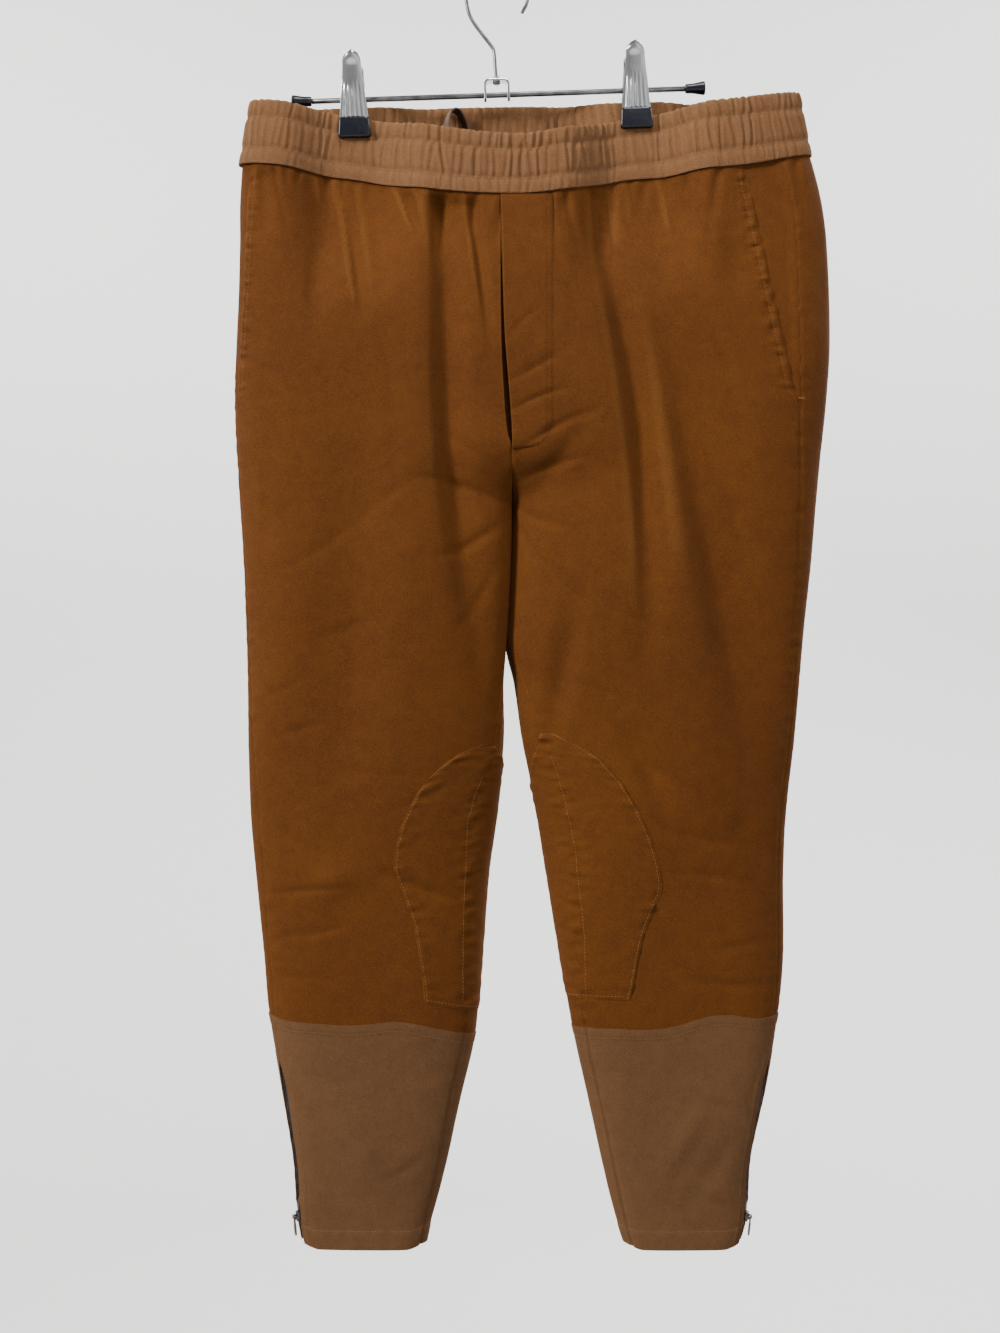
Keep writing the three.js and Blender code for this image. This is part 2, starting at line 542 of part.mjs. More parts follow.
// One grid over the whole leg, front panel first, so that what lies on the cloth shares its points.
function legGrid(leg) {
  return PANEL_DROPS.map((drop) => {
    const side = sideTurn(leg, drop);
    const inseam = inseamTurn(leg, drop);
    const front = spread(leg, inseam, side, drop, FRONT_CELLS);
    const back = spread(leg, side, 2 + inseam, drop, BACK_CELLS);
    return {
      front: front.map((turn) => clothSpot(leg, turn, drop)),
      back: back.map((turn) => clothSpot(leg, turn, drop)),
    };
  });
}

const grids = { right: legGrid(LEGS.right), left: legGrid(LEGS.left) };

// ---------------------------------------------------------------- front and back panels, pockets
const FAR = 200; // beyond the cloth on every side

for (const pocket of POCKETS) {
  const { side } = pocket;
  const away = side === 'left' ? 1 : -1;
  const trim = { start: TRIM_SIDE, end: TRIM_SIDE, top: TRIM_LEVEL, foot: TRIM_LEVEL };
  const slope = (pocket.footX - pocket.topX) / (pocket.footDrop - pocket.topDrop);
  const mouthX = (drop) => pocket.topX + slope * (drop - pocket.topDrop);
  const mouth = (lap) => [
    [mouthX(100) - away * lap, 100],
    [mouthX(pocket.footDrop) - away * lap, pocket.footDrop + lap / 2],
    [away * (FAR + 200), pocket.footDrop + lap / 2],
    [away * (FAR + 200), 100],
  ];
  // Where the panel rolls behind the edge, all of it lies outside the mouth.
  const opened = (lap) => frontBlock(mouth(lap), -FAR, 1).add(frontBlock(mouth(lap + 20), 0, FAR));
  const frontGrid = grids[side].map((row) => row.front);
  const backGrid = grids[side].map((row) => row.back);
  const front = toSolid(layer(drawnIn(frontGrid, trim), -TWILL, 0));
  place(`front_${side}`, toGeometry(front.subtract(opened(0))), CLOTH);
  place(`back_${side}`, layer(drawnIn(backGrid, trim), -TWILL, 0), CLOTH);
  const under = TWILL + SEAM;
  const facing = toSolid(layer(drawnIn(frontGrid, trim), -under - TWILL, -under));
  place(`pocket_facing_${side}`, toGeometry(facing.intersect(opened(POCKET_LAP))), CLOTH);
}

// ---------------------------------------------------------------- fly
// The placket lies on the left front, with a free edge at centre front and a round foot.
{
  const columns = 8;
  const rows = grids.left.filter((row, i) => PANEL_DROPS[i] < CROTCH);
  const grid = rows.map((row) => row.front.slice(0, columns));
  const slab = toSolid(layer(drawnIn(grid, { start: SEAM / 2, top: SEAM }), SEAM, SEAM + TWILL));
  const outline = [[-30, 150], [FLY.edge, 150]];
  const steps = 5;
  for (let i = 0; i <= steps; i += 1) {
    const a = (Math.PI / 2) * (i / steps);
    outline.push([FLY.edge - FLY.round * (1 - Math.cos(a)), FLY.foot - FLY.round * (1 - Math.sin(a))]);
  }
  outline.push([-30, FLY.foot]);
  place('fly_placket', toGeometry(slab.intersect(frontBlock(outline, -FAR, 0))), CLOTH);
}

// The underlap hangs from the waist seam behind the placket's edge and shows in its gap.
{
  const drops = PANEL_DROPS.filter((drop) => drop >= WAIST && drop <= 425);
  const grid = drops.map((drop) => {
    const behind = TWILL + lerp(FLY.gap, FLY.gapBelow, smoothstep(drop, 175, 230));
    const inner = read(SECTIONS, 'inR', drop);
    return [-2, -1, 0, 1, 2].map((step) => {
      const x = inner + step * FLY.underlapStep;
      const leg = x < inner ? LEGS.right : LEGS.left;
      const own = read(SECTIONS, leg.in, drop);
      const across = clamp((x - own) / (read(SECTIONS, leg.out, drop) - own), 0, 1);
      const spot = clothSpot(leg, (2 / Math.PI) * Math.asin(across), drop);
      return { p: new THREE.Vector3(x, spot.p.y + behind, spot.p.z), n: new THREE.Vector3(0, -1, 0) };
    });
  });
  place('fly_underlap', layer(drawnIn(grid, { top: SEAM }), -TWILL, 0), CLOTH);
}

// ---------------------------------------------------------------- knee patches
// A patch follows the panels' own points round the inseam, moved out, and is cut to its outline.
for (const patch of PATCHES) {
  const { side } = patch;
  const inward = side === 'right' ? 1 : -1;
  const reachFront = 11;
  const reachBack = 8;
  const rows = grids[side].filter((row, i) => PANEL_DROPS[i] >= 622);
  const grid = rows.map((row) => [
    ...row.back.slice(-1 - reachBack, -1),
    ...row.front.slice(0, reachFront + 1),
  ]);
  const slab = toSolid(layer(grid, SEAM, SEAM + PATCH_WALL));
  const shoulder = (fromX, fromDrop, toX, toDrop) => {
    const steps = 7;
    return Array.from({ length: steps + 1 }, (_, i) => {
      const a = (Math.PI / 2) * (i / steps);
      return [
        fromX + (toX - fromX) * Math.sin(a) ** (2 / PATCH_SWELL),
        toDrop - (toDrop - fromDrop) * Math.cos(a) ** (2 / PATCH_SWELL),
      ];
    });
  };
  const past = patch.innerX + inward * PATCH_PAST;
  const frontOutline = [
    ...shoulder(patch.tipX, patch.tipDrop, patch.cornerX, patch.cornerDrop),
    [
      lerp(patch.cornerX, patch.footX, PATCH_WAIST.across),
      lerp(patch.cornerDrop, patch.footDrop, PATCH_WAIST.down),
    ],
    [patch.footX, patch.footDrop],
    [patch.innerX, patch.innerDrop],
    [past, patch.innerDrop],
    [past, patch.edgeDrop],
    [patch.edgeX, patch.edgeDrop],
  ];
  const backFootX = patch.innerX - inward * patch.backFoot;
  const backOutline = [
    [past, patch.edgeDrop],
    ...shoulder(patch.edgeX, patch.edgeDrop, patch.edgeX - inward * patch.backCorner, patch.cornerDrop),
    [backFootX, patch.footDrop],
    [patch.innerX, patch.innerDrop],
    [past, patch.innerDrop],
  ];
  const mould = frontBlock(frontOutline, -FAR, 1).add(frontBlock(backOutline, 0, FAR));
  place(`knee_patch_${side}`, toGeometry(slab.intersect(mould)), CLOTH);
}

// ---------------------------------------------------------------- waistband
// The same section as the trunk's top, carried up to the top edge and drawn in a little.
function bandSpot(leg, turn, height) {
  const at = (w, t) => {
    const face = w <= 1 ? 'front' : 'back';
    const { trunkAcross, trunkDepth } = trunkAt(w);
    const out = lerp(read(SECTIONS, leg.out, WAIST), BAND_TOP[leg.out], t);
    const x = lerp(BAND_TOP.inner, out, trunkAcross);
    const y = pinched(-lerp(read(SECTIONS, face, WAIST), BAND_TOP[face], t) * trunkDepth, x, 1);
    const foot = read(WAIST_LINE, face === 'front' ? 'seamFront' : 'seamBack', x, 'x');
    const top = read(WAIST_LINE, face === 'front' ? 'topFront' : 'topBack', x, 'x');
    return new THREE.Vector3(x, y, -lerp(foot, top, t));
  };
  const round = at(Math.min(turn + NEAR.turn, 2), height).sub(at(Math.max(turn - NEAR.turn, 0), height));
  const up = at(turn, height + NEAR.height).sub(at(turn, height - NEAR.height));
  const n = round.cross(up).normalize();
  if (leg.name === 'right') n.negate();
  return { p: at(turn, height), n };
}

// Even steps of cloth across both halves of one face, from the right side seam to the left.
function bandColumns(face, count) {
  const samples = [];
  const add = (leg, from, to) => {
    for (let i = 0; i <= 150; i += 1) samples.push({ leg, turn: lerp(from, to, i / 150) });
  };
  const centre = face === 'front' ? 0 : 2;
  add(LEGS.right, sideTurn(LEGS.right, WAIST), centre);
  add(LEGS.left, centre, sideTurn(LEGS.left, WAIST));
  const places = samples.map(({ leg, turn }) => bandSpot(leg, turn, 0.5).p);
  const length = [0];
  for (let i = 1; i < places.length; i += 1) {
    length.push(length[i - 1] + places[i].distanceTo(places[i - 1]));
  }
  return Array.from({ length: count + 1 }, (_, c) => {
    const goal = (length[length.length - 1] * c) / count;
    let i = 1;
    while (i < length.length - 1 && length[i] < goal) i += 1;
    const share = clamp((goal - length[i - 1]) / Math.max(length[i] - length[i - 1], 1e-9), 0, 1);
    const [a, b] = [samples[i - 1], samples[i]];
    return { leg: b.leg, turn: a.leg === b.leg ? lerp(a.turn, b.turn, share) : b.turn };
  });
}

function waistband(face, gathers) {
  const inset = SEAM / 2;
  const crests = bandColumns(face, gathers * 2);
  const outer = BAND_ROWS.map(({ height, puff }) =>
    crests.map(({ leg, turn }, c) => {
      const { p, n } = bandSpot(leg, turn, height);
      const calm = smoothstep(freedom(p.x, 1), 0.0, 0.25);
      const uneven = 0.75 + 0.25 * Math.sin(c * 1.7) * Math.sin(c * 0.37);
      const raise = GATHER_DEPTH * puff * calm * uneven * (c % 2 ? 0.45 : -0.55);
      return { p: p.addScaledVector(n, BAND_OUT + raise), n };
    }),
  );
  const plain = bandColumns(face, 30);
  const inner = [0, 0.5, 1].map((height) =>
    plain.map(({ leg, turn }) => {
      const { p, n } = bandSpot(leg, turn, height);
      return { p: p.addScaledVector(n, BAND_OUT - BAND_WALL), n };
    }),
  );
  const points = (grid) => drawnIn(grid, { start: inset, end: inset }).map((row) => row.map(({ p }) => p));
  place(`waistband_${face}`, wallBetween(points(outer), points(inner)), TRIM);
}

waistband('front', GATHERS_FRONT);
waistband('back', GATHERS_BACK);

// A loop of ribbon stands up inside the back of the waistband.
{
  const { x, foot, top, half, lean, from, to, ribbon } = LOOP;
  const arch = (reach, crown) => {
    const steps = 8;
    return Array.from({ length: steps + 1 }, (_, i) => {
      const a = Math.PI * (1 - i / steps);
      return [x + reach * Math.cos(a) - lean * Math.sin(a), lerp(foot, crown, Math.sin(a) ** 0.8)];
    });
  };
  const outline = [...arch(half, top), ...arch(half - ribbon, top + ribbon).reverse()];
  place('hanging_loop', toGeometry(frontBlock(outline, from, to)), TAPE);
}

// ---------------------------------------------------------------- lower legs and zips
const LOWER_DROPS = [
  ...[JOIN, 935, ZIP.top - 2, ZIP.top + 8, 1000, 1035],
  ...[ZIP.cupDrop - 4, ZIP.cupDrop + 6, 1092, HEM],
];
const LOWER_CELLS = 9;

// Half the gap between the two lips of the zip: a closed seam above it, a mouth at the slider.
const zipGap = (drop) =>
  lerp(SEAM / 2, ZIP.open, smoothstep(drop, ZIP.top - 2, ZIP.top + 8)) +
  (ZIP.cup - ZIP.open) * smoothstep(drop, ZIP.cupDrop - 4, ZIP.cupDrop + 6);

for (const leg of Object.values(LEGS)) {
  const rows = LOWER_DROPS.map((drop) => {
    const zip = read(SEAM_LINES, leg.side, drop);
    const lip = (offset) => walk(leg, 1, drop, -zip + offset);
    const gap = zipGap(drop);
    const tape = Math.max(ZIP.tape, gap + 3);
    const inseam = inseamTurn(leg, drop);
    const spots = (turns) => turns.map((turn) => clothSpot(leg, turn, drop));
    return {
      front: spots([...spread(leg, inseam, lip(-tape), drop, LOWER_CELLS), lip(-gap)]),
      middle: clothSpot(leg, lip(0), drop),
      back: spots([lip(gap), ...spread(leg, lip(tape), 2 + inseam, drop, LOWER_CELLS)]),
    };
  });
  const front = drawnIn(rows.map((row) => row.front), { top: TRIM_LEVEL, start: TRIM_SIDE });
  const back = drawnIn(rows.map((row) => row.back), { top: TRIM_LEVEL, end: TRIM_SIDE });
  place(`lower_front_${leg.name}`, layer(front, -TWILL, 0), TRIM);
  place(`lower_back_${leg.name}`, layer(back, -TWILL, 0), TRIM);
  const tapeRows = rows.slice(2);
  const tapeGrid = tapeRows.map((row) => [...row.front.slice(-2), row.middle, ...row.back.slice(0, 2)]);
  const under = TWILL + SEAM;
  place(`zip_tape_${leg.name}`, layer(drawnIn(tapeGrid, { foot: 2 }), -under - ZIP.tapeWall, -under), TAPE);

  // The slider stands on the tape near the hem, facing out, and the pull hangs from its pin.
  const outward = leg.name === 'left' ? 1 : -1;
  const centre = walk(leg, 1, ZIP.slider, -read(SEAM_LINES, leg.side, ZIP.slider));
  const { p, n } = clothSpot(leg, centre, ZIP.slider);
  const up = new THREE.Vector3(0, 0, 1).addScaledVector(n, -n.z).normalize();
  const across = n.clone().multiplyScalar(outward);
  const runner = new THREE.Group();
  runner.position.copy(p).addScaledVector(n, -SLIDER.sunk);
  const turned = new THREE.Matrix4().makeBasis(across, up.clone().cross(across), up);
  runner.quaternion.setFromRotationMatrix(turned);
  const facing = (x0, x1) => (outward > 0 ? [x0, x1] : [-x1, -x0]);
  const stand = outward * PULL.stand;
  const { wide, high, thick, notch, lug } = SLIDER;
  const slider = boxSolid(...facing(0, thick), -wide, wide, -high, high)
    .subtract(boxSolid(...facing(notch.floor, thick + 1), -notch.wide, notch.wide, -high - 1, -notch.high))
    .add(boxSolid(...facing(thick - 0.1, PULL.stand + 1), lug.from, lug.to, -lug.high, lug.high))
    .add(boxSolid(...facing(thick - 0.1, PULL.stand + 1), -lug.to, -lug.from, -lug.high, lug.high))
    .add(rodSolid(PULL.pin, 2 * lug.from + 1, 'y', 8).translate([stand, 0, 0]));
  place(`zip_slider_${leg.name}`, toGeometry(slider), METAL, runner);
  const { half, length, eye, shoulder, tip } = PULL;
  const outline = [
    ...[[-eye, 0], [eye, 0], [eye, shoulder - 2], [half, shoulder], [half, length - 2], [tip, length]],
    ...[[-tip, length], [-half, length - 2], [-half, shoulder], [-eye, shoulder - 2]],
  ];
  const tab = frontBlock(outline, -PULL.wall / 2, PULL.wall / 2).rotate([0, 0, 90]);
  const knuckle = rodSolid(eye, 2 * eye, 'y', 10);
  const pull = tab.add(knuckle).subtract(rodSolid(PULL.bore, 4 * eye, 'y', 10));
  place(`zip_pull_${leg.name}`, toGeometry(pull.translate([stand, 0, 0])), METAL, runner);
  part.add(runner);
}

// ---------------------------------------------------------------- clip hanger
const hanger = new THREE.Group();
hanger.position.set(BAR.x, 0, -BAR.drop);
hanger.rotation.y = BAR.tilt;
part.add(hanger);
const bore = rodSolid(BAR.radius + FIT, 400, 'x');
const sleeve = BAR.half - CAP.length;

place('hanger_bar', toGeometry(rodSolid(BAR.radius, 2 * (sleeve + CAP.grip - FIT), 'x')), STEEL, hanger);

for (const end of [-1, 1]) {
  const profile = [
    ...[[0, CAP.grip], [BAR.radius + FIT, CAP.grip], [BAR.radius + FIT, 0]],
    ...[[CAP.inner - 0.4, 0], [CAP.inner, 1], [CAP.outer, CAP.length - 1.6]],
    ...[[CAP.outer - 1, CAP.length], [0, CAP.length]],
  ];
  const cap = new THREE.LatheGeometry(profile.map(([r, along]) => new THREE.Vector2(r, along)), 16);
  cap.rotateZ((-Math.PI / 2) * end).translate(end * sleeve, 0, 0);
  place(`end_cap_${end < 0 ? 'right' : 'left'}`, toGeometry(toSolid(cap)), RUBBER, hanger);
}

// Two sprung plates on the bar, with ears that the bar runs through, and a rubber pad on each.
for (const clip of CLIPS) {
  const clamp = new THREE.Group();
  clamp.position.x = clip.x - BAR.x;
  hanger.add(clamp);
  for (const face of ['front', 'back']) {
    const towards = face === 'front' ? -1 : 1;
    const sheet = (extra) =>
      PLATE_ROWS.map(({ up, half, off, flute }) =>
        Array.from({ length: PLATE.cells + 1 }, (_, c) => {
          const u = (2 * c) / PLATE.cells - 1;
          const stand = off + extra - PLATE.curl * u * u + flute * (c % 2 ? 1 : -1);
          return new THREE.Vector3(half * u, towards * stand, up);
        }),
      );
    const ear = face === 'front' ? PLATE.earOut : PLATE.earIn;
    const spans = towards < 0 ? [-PLATE.root, PLATE.reach] : [-PLATE.reach, PLATE.root];
    const plate = toSolid(wallBetween(sheet(PLATE.wall), sheet(0)))
      .add(boxSolid(ear - 1, ear, ...spans, -PLATE.ear, PLATE.ear))
      .add(boxSolid(-ear, 1 - ear, ...spans, -PLATE.ear, PLATE.ear))
      .subtract(bore);
    place(`clip_${face}_${clip.name}`, toGeometry(plate), CHROME, clamp);
    const pad = [
      [-PAD.topHalf, PAD.top], [PAD.topHalf, PAD.top], [PAD.footHalf, PAD.foot + PAD.corner],
      [PAD.footHalf - PAD.corner * 0.3, PAD.foot + PAD.corner * 0.3], [PAD.footHalf - PAD.corner, PAD.foot],
      [PAD.corner - PAD.footHalf, PAD.foot], [PAD.corner * 0.3 - PAD.footHalf, PAD.foot + PAD.corner * 0.3],
      [-PAD.footHalf, PAD.foot + PAD.corner],
    ].map(([x, up]) => [x, -up]);
    const depths = towards < 0 ? [-PAD.face - PAD.wall, -PAD.face] : [PAD.face, PAD.face + PAD.wall];
    place(`clip_pad_${face}_${clip.name}`, toGeometry(frontBlock(pad, ...depths)), RUBBER, clamp);
  }
  const spring = rodSolid(SPRING.radius, 2 * SPRING.half, 'x').subtract(bore);
  place(`clip_spring_${clip.name}`, toGeometry(spring), STEEL, clamp);
}

// The yoke straddles the bar, and the hook's headed wire turns in its top.
{
  const { half, foot, top, depth, wall, bend } = YOKE;
  const outline = [
    ...[[-half, -foot], [-half, bend - top], [bend - half, -top]],
    ...[[half - bend, -top], [half, bend - top], [half, -foot]],
    ...[[half - wall, -foot], [half - wall, bend + 0.3 - top], [half - bend - 0.3, wall - top]],
    ...[[bend + 0.3 - half, wall - top], [wall - half, bend + 0.3 - top], [wall - half, -foot]],
  ];
  const neck = rodSolid(HOOK.wire + FIT, 20, 'z').translate([0, 0, top]);
  const yoke = frontBlock(outline, -depth / 2, depth / 2).translate([-BAR.x, 0, 0]);
  const drilled = yoke.subtract(bore).subtract(neck.translate([-BAR.x, 0, 0]));
  place('hook_yoke', toGeometry(drilled), CHROME, hanger);
}
{
  const crook = HOOK.radius - HOOK.wire;
  const neck = HOOK_NECK.map(({ x, drop }) => new THREE.Vector3(x, 0, -drop));
  const arc = [];
  for (let a = Math.PI; a > HOOK.tip; a -= Math.PI / 10) {
    arc.push(new THREE.Vector3(HOOK.radius * Math.cos(a), 0, HOOK.radius * Math.sin(a) - crook));
  }
  const extrudePath = new THREE.CatmullRomCurve3([...neck, ...arc]);
  const section = new THREE.Shape().absarc(0, 0, HOOK.wire, 0, 2 * Math.PI);
  const settings = { steps: 44, extrudePath, curveSegments: 4, bevelEnabled: false };
  const wire = toSolid(new THREE.ExtrudeGeometry(section, settings));
  const washer = (drop) => rodSolid(HOOK.head, 2, 'z').translate([HOOK_NECK[0].x, 0, -drop]);
  const top = BAR.drop - YOKE.top;
  const headed = wire.add(washer(top - HOOK.collar)).add(washer(top + YOKE.wall + HOOK.collar));
  place('hook', toGeometry(headed), CHROME);
}

export default part;
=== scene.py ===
import math

import bmesh
import bpy
import numpy as np
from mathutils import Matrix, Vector


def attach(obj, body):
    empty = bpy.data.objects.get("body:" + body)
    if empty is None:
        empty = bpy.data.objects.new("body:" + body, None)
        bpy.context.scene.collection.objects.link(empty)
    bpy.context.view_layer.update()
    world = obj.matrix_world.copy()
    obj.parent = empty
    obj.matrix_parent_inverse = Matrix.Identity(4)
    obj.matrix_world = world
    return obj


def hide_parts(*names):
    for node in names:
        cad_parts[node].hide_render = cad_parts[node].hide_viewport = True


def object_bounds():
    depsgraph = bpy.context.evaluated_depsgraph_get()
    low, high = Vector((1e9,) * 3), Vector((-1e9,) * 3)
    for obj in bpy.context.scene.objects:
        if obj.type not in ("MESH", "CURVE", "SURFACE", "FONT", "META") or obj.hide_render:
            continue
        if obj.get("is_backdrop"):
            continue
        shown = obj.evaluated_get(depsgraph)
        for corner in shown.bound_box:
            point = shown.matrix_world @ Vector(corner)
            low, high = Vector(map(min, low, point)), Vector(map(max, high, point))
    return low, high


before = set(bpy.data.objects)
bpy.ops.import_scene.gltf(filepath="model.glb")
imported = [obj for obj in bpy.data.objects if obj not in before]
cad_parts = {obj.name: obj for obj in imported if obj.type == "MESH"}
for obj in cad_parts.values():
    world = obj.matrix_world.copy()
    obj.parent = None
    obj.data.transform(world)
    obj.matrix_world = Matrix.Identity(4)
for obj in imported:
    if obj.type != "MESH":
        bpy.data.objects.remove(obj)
cad_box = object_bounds()

# ---------------------------------------------------------------------------
# The four thigh panels. The real ones are cut from a rust brown cotton twill,
# a front and a back for each leg, and joined at the side seams, the inseams
# and the rise. They hang flat but not pressed, so the cloth keeps soft folds.
# ---------------------------------------------------------------------------
WAIST, FLY_FOOT, SEAT, CROTCH, JOIN, HEM = 170, 415, 385, 472, 913, 1108
WALL = 1.2


def rows_of(names, rows):
    """The rows of a table, each by the names of its columns."""
    return [dict(zip(names.split(), row)) for row in rows]


# Level sections: the outer and inner edges of each leg and the depth of the
# cloth before and behind the hanging plane, in millimetres below the hook.
SECTIONS = rows_of("drop out_right in_right in_left out_left front back", [
    (170, -222, 3, 3, 271, 24, 20), (205, -224, 3, 3, 280, 26, 22), (240, -224, 3, 4, 285, 29, 24),
    (325, -226, 3.5, 6.4, 288, 34, 29), (377, -227, 5.8, 10.4, 285, 36, 32),
    (411, -225.8, 8.8, 12.6, 281.5, 36.8, 33.5), (424, -225, 12.6, 12.6, 280, 37, 34),
    (472, -222, 12.9, 11.4, 275.5, 38, 35), (520, -219, 12, 10.2, 271.5, 39, 36),
    (570, -217, 9.5, 7.6, 266, 38, 35), (592, -216.3, 8, 7.4, 264, 37, 34),
    (622, -215.6, 5.8, 14.4, 261.5, 36, 33), (672, -215, 6, 21.7, 257, 34, 31),
    (735, -213, -0.5, 35, 250, 31, 28), (784, -208.7, -7.5, 43, 247.7, 29, 26),
    (862, -201.3, -14, 56, 247.5, 26, 23), (913, -197, -18.5, 64.6, 243, 24, 21),
    (970, -186.8, -29.7, 76.5, 233, 20, 17), (1030, -176.5, -42, 89.4, 219.5, 17, 14),
    (1090, -172, -56.8, 103.5, 215.5, 13.5, 11), (1108, -169, -60.5, 109, 211, 12.5, 10),
])
# Where the side seam and the inseam run, round the cloth from the outer and the
# inner edge towards the front.
SEAM_LINES = rows_of("drop side_right side_left inseam_right inseam_left", [
    (170, -18, 34, 0, 0), (325, -3, 41, 0, 0), (385, 4, 37, 0, 0), (472, 8, 28, 0, 0),
    (560, 10, 21, 0, 6), (620, 12, 15, 3, 18), (672, 14, 14, 16, 29), (735, 18, 15, 28, 36),
    (825, 16, 15, 23, 29), (913, 14, 13, 19, 20), (1010, 6, 5, 15, 17), (1108, 3, 3, 10, 13),
])
WAIST_LINE = rows_of("x seam_front seam_back top_front top_back", [
    (-221, 175, 175, 118.5, 118.5), (-162, 183.5, 178, 128, 124.5), (-111, 190, 178, 136, 124),
    (-60, 202, 174, 147, 119.5), (15, 206.5, 172, 155, 117.5), (60, 202, 172.5, 149, 118),
    (108, 189, 174, 136.5, 120), (160, 185.5, 172, 129, 118), (213, 180.5, 170, 122, 116),
    (271, 167, 167, 111, 111),
])
# The seam between thigh and lower leg, by the share of the leg's width.
JOIN_LINE = rows_of("across right left", [
    (0, 924, 917), (0.2, 915, 916), (0.36, 909.5, 916.5), (0.5, 911.5, 913), (0.62, 913, 906),
    (0.74, 911.5, 904), (0.89, 910, 908), (1, 906.5, 907),
])
# Folds: a trough, or a ridge where depth is below zero, from one point to
# another, bowed in the middle. A row gives its x at both ends, its drop at both
# ends, the bow, the depth, how far its left and right sides reach, and its share
# of the depth at the top end.
FRONT_FOLDS = [
    (87, 91, 188, 275, 0, 8, 7, 8, 1), (90, 127, 240, 640, 14, 11, 10, 17, 0.6),
    (148, 161, 180, 262, 0, 6, 7, 9, 1), (140, 230, 300, 740, 0, 13, 19, 44, 0.4),
    (198, 213, 240, 300, 0, 3, 14, 12, 0.3), (-53, -51, 190, 268, 0, 8, 4.5, 6, 1),
    (-43, -9, 235, 640, -13, 11, 11, 17, 0.7), (-85, -62, 190, 250, 0, 4.5, 3.5, 6, 1),
    (-132, -112, 196, 322, 0, 5.5, 2.8, 8, 0.8), (-152, -144, 184, 224, 0, 3.5, 3, 5, 1),
    (-148, -158, 190, 345, 0, 5, 9, 15, 0.8), (-25, -4, 194, 350, 0, 5, 3.5, 6, 1),
    (-200, -197, 188, 250, 0, 3, 7, 8, 1), (56, 58, 198, 240, 0, 3, 6, 7, 1),
    (119, 124, 188, 232, 0, 3, 6, 7, 1), (30, 82, 460, 395, 0, 3, 9, 9, 0.2),
    (68, 42, 555, 690, 0, 4.5, 13, 8, 0.3), (100, 148, 650, 750, 5, 4, 9, 12, 0.3),
    (-116, -136, 400, 780, 0, 8, 42, 30, 0.3), (-160, -95, 800, 770, 0, -3, 14, 14, 0.2),
    (196, 236, 730, 790, 0, 3, 12, 12, 0.2), (184, 128, 976, 1075, -3, -1.6, 12, 8, 0.3),
    (206, 152, 1000, 1084, 3, 1.3, 9, 9, 0.3), (-142, -86, 980, 1070, 3, -1.4, 9, 12, 0.3),
    (-160, -120, 1006, 1082, -3, 1.2, 9, 9, 0.3),
]
BACK_FOLDS = [
    (60, 70, 172, 300, 4, 5, 10, 10, 1), (128, 165, 172, 420, -6, 6, 13, 17, 0.8),
    (200, 196, 172, 270, 0, 4, 10, 10, 1), (-55, -66, 172, 310, -4, 5, 10, 10, 1),
    (-118, -142, 172, 400, 6, 5, 14, 14, 0.8), (-176, -180, 175, 260, 0, 3.5, 9, 9, 1),
    (40, 120, 470, 600, 6, 5, 13, 17, 0.3), (-20, -90, 470, 610, -6, 5, 17, 13, 0.3),
    (90, 190, 740, 775, 4, 3.5, 12, 12, 0.2), (-50, -150, 745, 785, 4, 3.5, 12, 12, 0.2),
]
